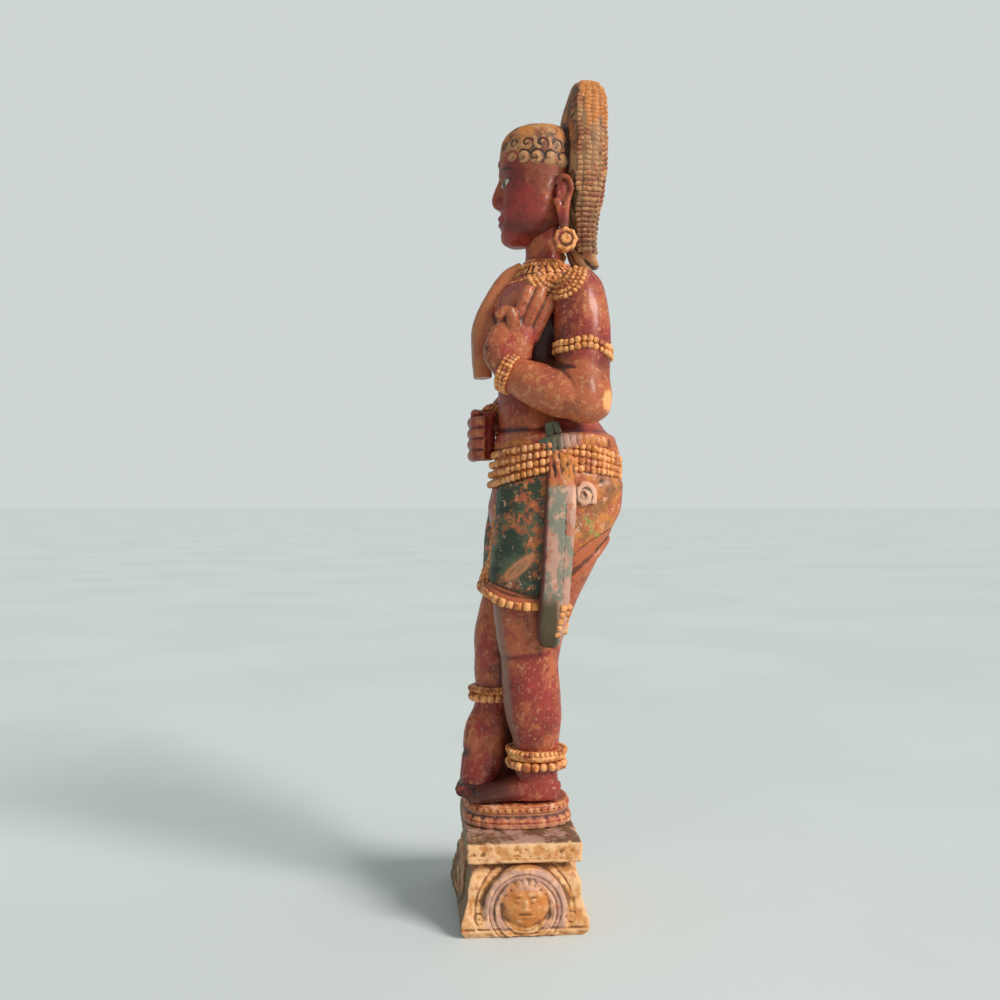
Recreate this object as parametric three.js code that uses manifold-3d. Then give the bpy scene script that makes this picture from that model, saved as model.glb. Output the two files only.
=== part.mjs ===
// A painted wooden statue of a celestial dancer, carved in the round, on a carved oblong plinth.
// Millimetres, +Z up, the figure faces -Y, +X is its own left side.
// The origin is the centre of the plinth's underside.
import * as THREE from "three";
import { mergeVertices } from "three/addons/utils/BufferGeometryUtils.js";
import Module from "manifold-3d";

// Driving dimensions
const FIGURE_HEIGHT = 808; // from the underside of the lotus pad to the top of the hair
const PLINTH_HALF_WIDTH = 86; // along X, at the slab
const PLINTH_HALF_DEPTH = 59; // along Y, at the slab
const PLINTH_HEIGHT = 94;
const SLAB_THICKNESS = 21;
const NECK_HEIGHT = 6; // the recessed fillet below the slab
const NECK_INSET = 12;
const PLINTH_FOOT_FLARE = 6.5; // how far the foot moulding stands out past the slab
const ARCH_RADIUS = 43; // the horseshoe arch carved on each face of the plinth
const ARCH_RELIEF = 9;
const BACK_RELIEF = 0.4; // the hidden back's arch is cut this much shallower
const SEAT_GAP = 0.3; // between the plinth's top and the lotus pad

// The figure is drawn at this height, and scaled from it.
const DRAWN_HEIGHT = 808;
const FIGURE_SCALE = FIGURE_HEIGHT / DRAWN_HEIGHT;

// Materials
const skinPaint = new THREE.MeshStandardMaterial({ color: 0x8e3326, roughness: 0.45, metalness: 0 });
const plinthPaint = new THREE.MeshStandardMaterial({ color: 0xb98352, roughness: 0.6, metalness: 0 });

const wasm = await Module();
wasm.setup();
const X_AXIS = new THREE.Vector3(1, 0, 0);
const Y_AXIS = new THREE.Vector3(0, 1, 0);
const Z_AXIS = new THREE.Vector3(0, 0, 1);

// Solids: a closed geometry becomes a solid, solids are joined, and a solid becomes a mesh again.
function solidOf(geometry) {
  const bare = geometry.clone();
  bare.deleteAttribute("normal");
  bare.deleteAttribute("uv");
  const merged = mergeVertices(bare, 1e-3);
  return new wasm.Manifold(
    new wasm.Mesh({
      numProp: 3,
      vertProperties: new Float32Array(merged.attributes.position.array),
      triVerts: new Uint32Array(merged.index.array),
    }),
  );
}

function joined(geometries) {
  return geometries.map(solidOf).reduce((whole, piece) => whole.add(piece));
}

function meshOf(solid, material, name) {
  const { numProp, vertProperties, triVerts } = solid.getMesh();
  const count = vertProperties.length / numProp;
  const positions = new Float32Array(count * 3);
  for (let i = 0; i < count; i++) positions.set(vertProperties.subarray(i * numProp, i * numProp + 3), i * 3);
  const geometry = new THREE.BufferGeometry();
  geometry.setAttribute("position", new THREE.BufferAttribute(positions, 3));
  geometry.setIndex(new THREE.BufferAttribute(new Uint32Array(triVerts), 1));
  geometry.computeVertexNormals();
  const mesh = new THREE.Mesh(geometry, material);
  mesh.name = name;
  return mesh;
}

// A smooth run through rows of numbers. t goes from 0, the first row, to 1, the last.
function rowAt(rows, t) {
  const place = THREE.MathUtils.clamp(t, 0, 1) * (rows.length - 1);
  const i = Math.min(Math.floor(place), rows.length - 2);
  const f = place - i;
  const before = rows[Math.max(i - 1, 0)];
  const after = rows[Math.min(i + 2, rows.length - 1)];
  return rows[i].map((p1, k) => {
    const p2 = rows[i + 1][k];
    const m1 = (p2 - before[k]) / 2;
    const m2 = (after[k] - p1) / 2;
    const f2 = f * f;
    const f3 = f2 * f;
    return (2 * f3 - 3 * f2 + 1) * p1 + (f3 - 2 * f2 + f) * m1 + (3 * f2 - 2 * f3) * p2 + (f3 - f2) * m2;
  });
}

// The place along the rows where their height, the third number, is z.
function placeOfHeight(rows, z) {
  const rising = rows[rows.length - 1][2] > rows[0][2];
  let low = 0;
  let high = 1;
  for (let i = 0; i < 24; i++) {
    const middle = (low + high) / 2;
    if (rowAt(rows, middle)[2] < z === rising) low = middle;
    else high = middle;
  }
  return (low + high) / 2;
}

// A point on the rim of a rounded section: power 2 is an ellipse, more is squarer.
function rim(angle, a, b, power) {
  const reach = (share) => (Math.abs(share) < 1e-5 ? 0 : Math.sign(share) * Math.abs(share) ** (2 / power));
  return [reach(Math.cos(angle)) * a, reach(Math.sin(angle)) * b];
}

// Moves each vertex of a closed cylinder: place(t, angle, rho) gives where it goes.
function formed(sides, steps, place, start = 0) {
  const geometry = new THREE.CylinderGeometry(1, 1, 1, sides, steps, false, start);
  const at = geometry.attributes.position;
  for (let i = 0; i < at.count; i++) {
    const rho = Math.hypot(at.getX(i), at.getZ(i));
    const to = place(at.getY(i) + 0.5, Math.atan2(-at.getZ(i), at.getX(i)), rho);
    at.setXYZ(i, to.x, to.y, to.z);
  }
  return geometry;
}

// A body of level slices. Rows are [x, y, z, half width, half depth, turn in degrees], from the foot up.
function trunk(rows, { sides = 20, steps = rows.length * 2, power = 2.2 } = {}) {
  return formed(sides, steps, (t, angle, rho) => {
    const [x, y, z, a, b, turn = 0] = rowAt(rows, t);
    const [u, v] = rim(angle, a, b, power);
    const spot = new THREE.Vector3(u * rho, v * rho, 0).applyAxisAngle(Z_AXIS, (turn * Math.PI) / 180);
    return spot.add(new THREE.Vector3(x, y, z));
  });
}

// A limb whose slices stand square to its run. Rows are [x, y, z, half size along side, half size across].
function limb(rows, side, { sides = 10, steps = rows.length, power = 2 } = {}) {
  const run = rows.map((row) => row.slice(0, 3));
  return formed(sides, steps, (t, angle, rho) => {
    const [x, y, z, a, b] = rowAt(rows, t);
    const ahead = new THREE.Vector3(...rowAt(run, t + 0.02));
    const behind = new THREE.Vector3(...rowAt(run, t - 0.02));
    const forward = ahead.sub(behind).normalize();
    const across = side.clone().addScaledVector(forward, -side.dot(forward)).normalize();
    const third = forward.clone().cross(across);
    const [u, v] = rim(angle, a, b, power);
    return new THREE.Vector3(x, y, z).addScaledVector(across, u * rho).addScaledVector(third, v * rho);
  });
}

function ellipsoid([x, y, z], [a, b, c], around = 10, up = 6) {
  return new THREE.SphereGeometry(1, around, up).rotateX(Math.PI / 2).scale(a, b, c).translate(x, y, z);
}

// A closed ring with a flat band's section, sunk into the body it girds. track(angle) gives its centre line.
function ring(track, steps, size, height) {
  const geometry = new THREE.TorusGeometry(2, 1, 4, steps);
  const at = geometry.attributes.position;
  const middle = track(0).add(track(Math.PI)).multiplyScalar(0.5);
  for (let i = 0; i < at.count; i++) {
    const step = Math.round(((Math.atan2(at.getY(i), at.getX(i)) / Math.PI / 2 + 1) * steps) % steps);
    const tilt = Math.atan2(at.getZ(i), Math.hypot(at.getX(i), at.getY(i)) - 2) + Math.PI / 4;
    const centre = track((step / steps) * 2 * Math.PI);
    const outward = centre.clone().sub(middle).setZ(0).normalize();
    const depth = Math.cos(tilt) > 0 ? size : 2 * size;
    const to = centre.addScaledVector(outward, Math.cos(tilt) * depth);
    at.setXYZ(i, to.x, to.y, to.z + Math.sin(tilt) * height);
  }
  return geometry;
}

// An oval track round a slice of a body, raised by lift(angle).
function girth(row, extra, lift = () => 0, power = 2.2) {
  const [x, y, z, a, b, turn = 0] = row;
  return (angle) => {
    const [u, v] = rim(angle, a + extra, b + extra, power);
    const spot = new THREE.Vector3(u, v, 0).applyAxisAngle(Z_AXIS, (turn * Math.PI) / 180);
    return spot.add(new THREE.Vector3(x, y, z + lift(angle)));
  };
}

// The body. Heights count from the top of the plinth.
const CHEST_TURN = 22; // the shoulders turn to the figure's left, away from the hips
const torsoRows = [
  [0, 37, 308, 60, 62, 0],
  [1, 38, 336, 67, 70, 0],
  [2, 42, 361, 70, 69, 0],
  [4, 43, 388, 68, 68, 2],
  [4, 42, 405, 66, 66, 4],
  [4, 41, 416, 64, 65, 4],
  [4, 39, 420, 57, 59, 5],
  [3, 34, 434, 51, 54, 8],
  [1, 26, 456, 45, 46, 12],
  [0, 24, 481, 47, 44, 16],
  [-1, 23, 506, 53, 45, 19],
  [-1, 22, 536, 59, 47, CHEST_TURN],
  [0, 22, 561, 61, 48, CHEST_TURN],
  [0, 25, 581, 53, 38, CHEST_TURN],
  [0, 30, 596, 34, 25, 18],
  [0, 29.5, 606, 22, 21, 8],
  [0, 29, 620, 19.5, 19.5, 0],
  [0, 27, 646, 20, 21, 0],
];
const leftLegRows = [
  [22, 15, 28, 21, 29],
  [22, 19.5, 43, 20, 23.5],
  [22, 19, 66, 20, 22.5],
  [22, 18.5, 88, 22, 24.5],
  [23, 15.5, 116, 26, 30.5],
  [24, 13, 146, 28, 31.5],
  [25, 11, 173, 29, 31],
  [26, 11, 198, 30, 35.5],
  [28, 14, 226, 31.5, 41.5],
  [30, 20, 256, 33, 49],
  [32, 28, 284, 33.5, 55],
  [33, 32, 306, 34, 56],
  [34, 44, 346, 34, 64],
];
const rightLegRows = [
  [-13, -46, 26, 23, 16],
  [-13.5, -42, 40, 23, 20],
  [-14, -36, 56, 21.5, 25],
  [-14, -33, 78, 20, 26],
  [-15, -29, 100, 19, 27],
  [-16, -27, 118, 18.5, 20],
  [-17, -24, 136, 20, 20.5],
  [-20, -19.5, 156, 24, 26.5],
  [-22, -15, 176, 27, 30.5],
  [-25, -11, 201, 29, 34.5],
  [-27, -4, 226, 30.5, 36],
  [-31, 8, 266, 32, 38],
  [-33, 23, 306, 33, 52],
  [-34, 41, 346, 34, 61],
];
const headRows = [
  [0, 1, 624, 9, 8],
  [0, 3, 628, 17, 17],
  [0, 9, 637, 27, 27],
  [0, 16, 653, 34, 34],
  [0, 20, 673, 38, 38],
  [0, 22, 693, 41, 41],
  [0, 23, 713, 41.5, 42.5],
  [0, 24, 733, 39, 40],
  [0, 25, 747, 31, 32],
  [0, 26, 755, 16, 16],
];
const bunRows = [
  [0, 83, 603, 12, 8],
  [0, 72, 619, 26, 13],
  [0, 69, 646, 40, 16],
  [0, 70, 676, 50, 20],
  [0, 71, 706, 54, 22.5],
  [0, 72, 736, 52, 23],
  [0, 72.5, 766, 44, 23],
  [0, 75, 786, 34, 20],
  [0, 76, 801, 20, 16],
  [0, 77, 808, 9, 11],
];
const leftUpperArm = [
  [54, 50, 580, 14, 15],
  [63, 57, 567, 25, 26],
  [71, 60, 538, 28, 29],
  [75, 61, 506, 27.5, 29],
  [78, 60, 474, 27, 28.5],
  [79, 61, 452, 26, 30],
  [79, 63, 436, 21, 25],
  [79, 63, 427, 8, 10],
];
const leftForearm = [
  [79, 52, 455, 25, 25],
  [77, 34, 459, 26, 26],
  [72, 12, 467, 23, 23],
  [65, -4, 475, 19, 20],
  [59, -17, 482, 16, 17],
];
const leftPalm = [
  [59, -20, 482, 18, 13],
  [57, -19, 500, 24, 14],
  [54, -13, 520, 26, 13],
  [51, -3, 540, 23, 10],
];
const leftFingers = [
  [[53, -12, 536, 6.4, 6.4], [59, -7, 553, 6.2, 6.2], [62, -16, 559, 5.8, 5.8], [60, -27, 549, 5, 5]],
  [[52, -1, 538, 6.6, 6.4], [54, 8, 558, 6.2, 6.2], [50, 19, 575, 4.8, 4.8]],
  [[52, 9, 534, 6.4, 6.2], [53, 18, 554, 6, 6], [49, 28, 570, 4.6, 4.6]],
  [[52, 17, 527, 5.8, 5.8], [52, 26, 545, 5.4, 5.4], [49, 34, 559, 4.2, 4.2]],
  [[53, -36, 504, 8, 7.5], [57, -42, 521, 7, 7], [59, -37, 536, 6, 6], [59, -30, 545, 5, 5]],
];
const rightUpperArm = [
  [-50, 12, 580, 14, 15],
  [-59, 8, 567, 25, 26],
  [-68, 9, 538, 28, 27],
  [-74, 13, 506, 27.5, 27],
  [-79, 17, 474, 27, 27],
  [-80, 18, 452, 26, 26],
  [-80, 18, 437, 21, 21],
  [-80, 18, 430, 8, 8],
];
const rightForearm = [
  [-80, 16, 455, 26, 26],
  [-72, 3, 454, 24, 22],
  [-60, -8, 451, 19, 17],
  [-46, -18, 445, 15, 13],
  [-34, -25, 438, 12, 12],
];
const rightPalm = [
  [-18, -35, 389, 15, 9],
  [-17, -37, 396, 19, 13],
  [-16, -37, 414, 20, 14],
  [-18, -37, 434, 19, 13],
  [-24, -31, 445, 14, 12],
];
const rightThumb = [
  [-34, -34, 441, 7, 7],
  [-20, -44, 443, 6, 6],
  [-4, -45, 441, 5, 5],
];
const leftFootRows = [
  [22, 42, 34, 11, 8],
  [22, 35, 37, 17, 12.5],
  [22, 15, 40, 19, 15.5],
  [22, -12, 37, 21, 12.5],
  [21, -34, 33, 23, 8.5],
  [21, -46, 31, 21, 6.5],
];

function chestSpot(lateral, forward, z) {
  const turn = (CHEST_TURN * Math.PI) / 180;
  const x = lateral * Math.cos(turn) + forward * Math.sin(turn);
  const y = 24 + lateral * Math.sin(turn) - forward * Math.cos(turn);
  return [x, y, z];
}

function bodyForms() {
  return [
    trunk(torsoRows, { sides: 12, steps: torsoRows.length - 1 }),
    trunk(leftLegRows, { sides: 12, steps: 12 }),
    trunk(rightLegRows, { sides: 12, steps: 13 }),
    ellipsoid(chestSpot(-28, 31, 532), [28, 29, 29], 10, 6),
    ellipsoid(chestSpot(28, 31, 532), [28, 29, 29], 10, 6),
    limb(leftUpperArm, X_AXIS, { sides: 10, steps: leftUpperArm.length - 1 }),
    limb(leftForearm, X_AXIS, { sides: 10, steps: 5 }),
    limb(rightUpperArm, X_AXIS, { sides: 10, steps: rightUpperArm.length - 1 }),
    limb(rightForearm, Z_AXIS, { sides: 10, steps: 5 }),
  ];
}

function handForms() {
  const knuckles = [0, 1, 2, 3].map((i) => {
    const z = 433 - i * 12.6;
    const reach = 4 - Math.abs(i - 1.2);
    return limb(
      [[-30, -42, z, 5, 5], [-22, -46 - reach * 0.4, z, 7, 7], [-2, -43 - reach * 0.4, z, 7, 7], [4, -34, z, 6, 6]],
      Z_AXIS,
      { sides: 5, steps: 2 },
    );
  });
  return [
    limb(leftPalm, Y_AXIS, { sides: 10, steps: 4, power: 2.6 }),
    ...leftFingers.map((rows) => limb(rows, Y_AXIS, { sides: 6, steps: rows.length })),
    trunk(rightPalm, { sides: 10, steps: 4, power: 3 }),
    ...knuckles,
    limb(rightThumb, Z_AXIS, { sides: 6, steps: 3 }),
  ];
}

// Toes in a row, the great toe on the inner side. Each is [share of the width, length, radius].
const toeSizes = [[-0.84, 11, 6.4], [-0.38, 11.5, 4.9], [0.04, 10.5, 4.7], [0.43, 9.5, 4.5], [0.8, 8, 4.2]];

function toes([x, y, z], halfWidth, outward) {
  return toeSizes.map(([share, length, radius]) =>
    ellipsoid([x + outward * share * halfWidth, y - length * 0.35, z], [radius, length, radius], 6, 3),
  );
}

function footForms() {
  return [
    limb(leftFootRows, X_AXIS, { sides: 8, steps: 5 }),
    ...toes([21, -45, 30], 22, 1),
    ...toes([-13, -53, 31], 22, -1),
  ];
}

function headForms() {
  const nose = [
    [0, -13, 702, 3.5, 5],
    [0, -17, 686, 4, 6],
    [0, -20, 672, 7, 7],
    [0, -15, 665, 6, 5],
  ];
  const ears = [-1, 1].flatMap((hand) => [
    limb(
      [
        [hand * 38, 36, 686, 4, 6],
        [hand * 43, 46, 683, 4, 7],
        [hand * 43, 47, 664, 3.5, 7],
        [hand * 42, 45, 630, 4, 6],
      ],
      X_AXIS,
      { sides: 5, steps: 3 },
    ),
    new THREE.CylinderGeometry(12.5, 12.5, 15, 8).rotateZ(Math.PI / 2).translate(hand * 43, 47, 623),
  ]);
  return [
    trunk(headRows, { sides: 12, steps: 9, power: 2.1 }),
    limb(nose, X_AXIS, { sides: 6, steps: 4 }),
    ellipsoid([0, -14, 654], [10, 6, 3.6], 6, 3),
    ellipsoid([0, -12.5, 647], [9, 6, 4], 6, 3),
    ...[-1, 1].map((hand) => ellipsoid([hand * 17, -9, 690], [10, 7.5, 4.5], 6, 4)),
    ...ears,
  ];
}

// Hair: a cap of carved locks over the brow, and a tall roll behind the head with ribs round its edge.
const CAP_CENTRE = [0, 25, 721];
const CAP_SIZE = [45, 46, 35];
const CAP_ROUNDNESS = 2.7; // 2 is a plain dome, more is squarer at the brow
const BUN_RIBS = 4;
const BUN_GROOVE = 4.5;

function capForm() {
  const geometry = new THREE.SphereGeometry(1, 16, 7).rotateX(Math.PI / 2);
  const at = geometry.attributes.position;
  for (let i = 0; i < at.count; i++) {
    const angle = Math.atan2(at.getY(i), at.getX(i));
    const brow = 0.5 + 0.5 * Math.cos(angle + Math.PI / 2);
    const middle = at.getZ(i) < -0.99;
    const top = at.getZ(i) > 0.99;
    const lowest = middle ? -0.4 : -0.62 + 0.42 * brow;
    const waves = 1 + 0.03 * Math.cos(angle * 8);
    const flat = Math.abs(at.getZ(i)) ** CAP_ROUNDNESS;
    const reach = (1 - flat) ** (1 / CAP_ROUNDNESS) * waves;
    const x = middle || top ? 0 : Math.cos(angle) * reach;
    const y = middle || top ? 0 : Math.sin(angle) * reach;
    const z = Math.max(at.getZ(i), lowest);
    at.setXYZ(i, x, y, z);
  }
  return geometry.scale(...CAP_SIZE).translate(...CAP_CENTRE);
}

// The roll's edge is carved in ribs that run up one side, over the top and down the other.
function bunForm() {
  const sides = 4 * BUN_RIBS + 4;
  return formed(sides, 9, (t, angle, rho) => {
    const [x, y, z, a, b] = rowAt(bunRows, t);
    const [u, v] = rim(angle, a, b, 2.8);
    const step = Math.round((angle / Math.PI / 2) * sides + sides);
    const onEdge = Math.abs(Math.cos(angle)) > 0.35;
    const groove = onEdge && step % 2 ? BUN_GROOVE * Math.min(1, a / 20) : 0;
    return new THREE.Vector3(x + (u - Math.sign(u) * groove) * rho, y + v * rho, z);
  });
}

function hairForms() {
  return [capForm(), bunForm()];
}

// The cloth: one panel wraps each thigh, open at the front, its hem lower in front than behind.
const CLOTH_THICKNESS = 5;
const HEM_THICKNESS = 9;
const CLOTH_TOP = 372;

// How high the hem stands at an angle round the left thigh; -90 degrees is the front and 0 the outer side.
function hemHeight(angle) {
  const frontness = Math.max(0, Math.cos(angle + Math.PI / 2));
  const backness = Math.max(0, Math.cos(angle - Math.PI / 2));
  const inner = Math.max(0, -Math.cos(angle));
  return 232 + 70 * backness ** 1.2 + 14 * frontness ** 3 + 96 * inner ** 1.4 * (0.35 + 0.65 * frontness);
}

function clothSpot(rows, angle, z, extra) {
  const [x, y, , a, b] = rowAt(rows, placeOfHeight(rows, Math.min(z, 344)));
  const [u, v] = rim(angle, a + extra, b + extra, 2.2);
  return new THREE.Vector3(x + u, y + v, z);
}

// Each row is a share of the way up from the hem to the hip, and how far the cloth stands off the thigh.
const clothLayers = [
  [0, HEM_THICKNESS - 1.5],
  [0.03, HEM_THICKNESS],
  [0.08, HEM_THICKNESS],
  [0.1, CLOTH_THICKNESS],
  [0.55, CLOTH_THICKNESS],
  [1, CLOTH_THICKNESS - 1],
];

function clothPanel(rows, hand) {
  return formed(14, clothLayers.length - 1, (t, angle, rho) => {
    const [share, thickness] = clothLayers[Math.round(t * (clothLayers.length - 1))];
    const outerAngle = hand > 0 ? angle : Math.PI - angle;
    const bottom = hemHeight(outerAngle) * rho + (1 - rho) * 250;
    const z = bottom + (CLOTH_TOP - bottom) * share;
    const spot = clothSpot(rows, angle, z, thickness);
    const [x, y] = rowAt(rows, placeOfHeight(rows, Math.min(z, 344)));
    return new THREE.Vector3(x + (spot.x - x) * rho, y + (spot.y - y) * rho, z);
  });
}

// The sash at the left hip: a long folded end below a looped knot.
function sashForms() {
  const fold = [
    [66, 30, 200, 7, 15],
    [71, 31, 218, 9, 17],
    [74, 34, 262, 8, 16],
    [75, 36, 310, 7.5, 16],
    [74, 38, 352, 7, 16],
    [70, 36, 392, 6, 12],
    [62, 30, 428, 5, 7],
  ];
  const coil = (radius, thickness, y, z) =>
    new THREE.TorusGeometry(radius, thickness, 4, 10).rotateY(Math.PI / 2).translate(72, y, z);
  return [
    limb(fold, X_AXIS, { sides: 8, steps: 7, power: 3.4 }),
    coil(15, 5.5, 62, 358),
    ellipsoid([71, 62, 358], [6, 9, 9], 8, 4),
    coil(9, 5, 42, 380),
  ];
}

// Jewels: rings and strings of beads, a broad collar, and a strand that hangs off the breast.
function beltLift(angle) {
  const forward = Math.max(0, -Math.sin(angle));
  const back = Math.max(0, Math.sin(angle));
  return -40 * forward ** 1.5 - 16 * back ** 1.5;
}

function armlet([x, y, z, a, b]) {
  return ring((angle) => new THREE.Vector3(x + Math.cos(angle) * a, y + Math.sin(angle) * b, z), 10, 5, 9);
}

function bracelet(rows) {
  const [x, y, z, a] = rowAt(rows, 0.9);
  const [x0, y0, z0] = rowAt(rows, 0.8);
  const forward = new THREE.Vector3(x - x0, y - y0, z - z0).normalize();
  const turn = new THREE.Quaternion().setFromUnitVectors(Z_AXIS, forward);
  const flat = (angle) => new THREE.Vector3(Math.cos(angle) * (a + 1), Math.sin(angle) * (a + 1), 0);
  return ring(flat, 8, 5, 6.4).applyQuaternion(turn).translate(x, y, z);
}

function anklet(rows, z, size, height) {
  const [x, y, , a, b] = rowAt(rows, placeOfHeight(rows, z));
  return ring(girth([x, y, z, a, b], size * 0.3, () => 0, 2), 12, size, height);
}

function jewelForms() {
  const collarRows = [
    [0, 27, 578, 50, 36, 18],
    [0, 28, 590, 46, 33, 18],
    [0, 29, 600, 32, 26, 14],
    [0, 29, 608, 23, 22, 0],
  ];
  const strand = [
    [-1, 2, 604, 7, 4],
    [-2, -18, 588, 7.5, 4],
    [-5, -33, 562, 8, 5],
    [-7, -44, 535, 8, 5],
    [-7, -45, 508, 8, 4],
    [-7, -43, 479, 8, 4],
  ];
  return [
    trunk(collarRows, { sides: 16, steps: 4 }),
    ring(girth([0, 27, 582, 50, 36, 18], 1), 16, 4.6, 5.4),
    limb(strand, X_AXIS, { sides: 6, steps: 7, power: 4 }),
    ring(girth([2, 42, 408, 66, 66, 2], 2.5, beltLift), 16, 6, 9),
    armlet(leftUpperArm[3]),
    armlet(rightUpperArm[3]),
    bracelet(leftForearm),
    bracelet(rightForearm),
    anklet(leftLegRows, 70, 7, 15),
    anklet(rightLegRows, 138, 7, 10),
  ];
}

// The lotus pad under the feet: two tiers of petals round an oval.
const PAD_HALF_WIDTH = 46;
const PAD_HALF_DEPTH = 59;
const PAD_HEIGHT = 25;
const PAD_PETALS = 12;

function padForm() {
  const profile = [
    [0, 0.97],
    [0.26, 1],
    [0.46, 0.9],
    [0.6, 0.93],
    [0.9, 0.97],
    [1, 0.92],
  ];
  return formed(PAD_PETALS * 2, profile.length - 1, (t, angle, rho) => {
    const [height, reach] = profile[Math.round(t * (profile.length - 1))];
    const step = Math.round((angle / Math.PI) * PAD_PETALS + 4 * PAD_PETALS);
    const notch = step % 2 && height > 0 ? 0.955 : 1;
    const [u, v] = rim(angle, PAD_HALF_WIDTH * reach * notch, PAD_HALF_DEPTH * reach * notch, 2.6);
    return new THREE.Vector3(u * rho, v * rho - 1.5 * height, height * PAD_HEIGHT);
  });
}

function figureSolid() {
  return joined([
    ...bodyForms(),
    ...handForms(),
    ...footForms(),
    ...headForms(),
    ...hairForms(),
    clothPanel(leftLegRows, 1),
    clothPanel(rightLegRows, -1),
    ...sashForms(),
    ...jewelForms(),
    padForm(),
  ]);
}

// The plinth: a slab over a recessed neck and a flared block with an arched face on each side.
const blockTop = PLINTH_HEIGHT - SLAB_THICKNESS - NECK_HEIGHT;
// Each row is a share of the block's height and how far the block stands inside the slab's edge.
const blockProfile = [
  [0, -2],
  [0.1, -PLINTH_FOOT_FLARE],
  [0.24, -PLINTH_FOOT_FLARE],
  [0.36, -3],
  [0.54, 0.5],
  [0.78, 1],
  [0.92, 5],
  [1, NECK_INSET],
];

// A block with four flat sides. Rows are [height, how far inside the slab's edge].
function squareBlock(rows) {
  return formed(
    4,
    rows.length - 1,
    (t, angle, rho) => {
      const [z, inset] = rows[Math.round(t * (rows.length - 1))];
      const x = Math.sign(Math.cos(angle)) * (PLINTH_HALF_WIDTH - inset) * rho;
      const y = Math.sign(Math.sin(angle)) * (PLINTH_HALF_DEPTH - inset) * rho;
      return new THREE.Vector3(x, y, z);
    },
    Math.PI / 4,
  );
}

// A horseshoe arch of raised bands with a small round face inside it, standing out along +Z of its own frame.
function archForm() {
  const bands = [
    [0, ARCH_RELIEF * 0.7],
    [0.58, ARCH_RELIEF * 0.5],
    [0.68, ARCH_RELIEF],
    [0.88, ARCH_RELIEF * 0.8],
    [1, ARCH_RELIEF * 0.35],
    [1, -ARCH_RELIEF],
    [0, -ARCH_RELIEF],
  ];
  const profile = bands.map(([share, height]) => new THREE.Vector2(share * ARCH_RADIUS, height)).reverse();
  const disc = solidOf(new THREE.LatheGeometry(profile, 12).rotateX(Math.PI / 2));
  const head = ARCH_RADIUS * 0.5;
  const rise = ARCH_RADIUS * 0.2;
  const parts = [
    ellipsoid([0, rise, ARCH_RELIEF * 0.5], [head, head * 0.95, ARCH_RELIEF], 8, 5),
    ellipsoid([0, rise + 1, ARCH_RELIEF * 1.3], [3, 7, 4], 5, 3),
    ...[-1, 1].map((hand) => ellipsoid([hand * 8.5, rise + 6, ARCH_RELIEF * 1.1], [5, 3, 4], 6, 3)),
  ];
  return parts.reduce((whole, part) => whole.add(solidOf(part)), disc);
}

function plinthSolid() {
  const block = squareBlock(blockProfile.map(([share, inset]) => [share * blockTop, inset]));
  const neck = squareBlock([[blockTop - 1, NECK_INSET], [blockTop + NECK_HEIGHT + 1, NECK_INSET]]);
  const slab = squareBlock([
    [blockTop + NECK_HEIGHT, 1],
    [blockTop + NECK_HEIGHT + 2, 0],
    [PLINTH_HEIGHT - 2, 0],
    [PLINTH_HEIGHT, 1],
  ]);
  const scroll = (sx, sy) => [sx * (PLINTH_HALF_WIDTH + 2), sy * (PLINTH_HALF_DEPTH + 2), 13];
  const corners = [-1, 1].flatMap((sx) => [-1, 1].map((sy) => ellipsoid(scroll(sx, sy), [5, 5, 9], 6, 4)));
  const archHeight = blockTop * 0.4;
  const arch = archForm();
  const faces = [0, 1, 2, 3].map((quarter) => {
    const reach = quarter % 2 ? PLINTH_HALF_DEPTH : PLINTH_HALF_WIDTH;
    const relief = quarter === 1 ? BACK_RELIEF : 1;
    const upright = arch.scale([1, 1, relief]).rotate([90, 0, 90]);
    return upright.translate([reach - 1, 0, archHeight]).rotate([0, 0, quarter * 90]);
  });
  const box = new THREE.BoxGeometry(4 * PLINTH_HALF_WIDTH, 4 * PLINTH_HALF_DEPTH, blockTop + NECK_HEIGHT);
  const below = solidOf(box.translate(0, 0, (blockTop + NECK_HEIGHT) / 2));
  const carved = faces.reduce((whole, face) => whole.add(face), joined([block, ...corners])).intersect(below);
  return carved.add(joined([neck, slab]));
}

const statue = new THREE.Group();
const figureGroup = new THREE.Group();
figureGroup.position.z = PLINTH_HEIGHT + SEAT_GAP;
figureGroup.scale.setScalar(FIGURE_SCALE);
figureGroup.add(meshOf(figureSolid(), skinPaint, "figure"));
statue.add(figureGroup, meshOf(plinthSolid(), plinthPaint, "plinth"));

export default statue;
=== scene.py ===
import math

import bmesh
import bpy
import numpy as np
from mathutils import Matrix, Quaternion, Vector
from mathutils.bvhtree import BVHTree


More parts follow.
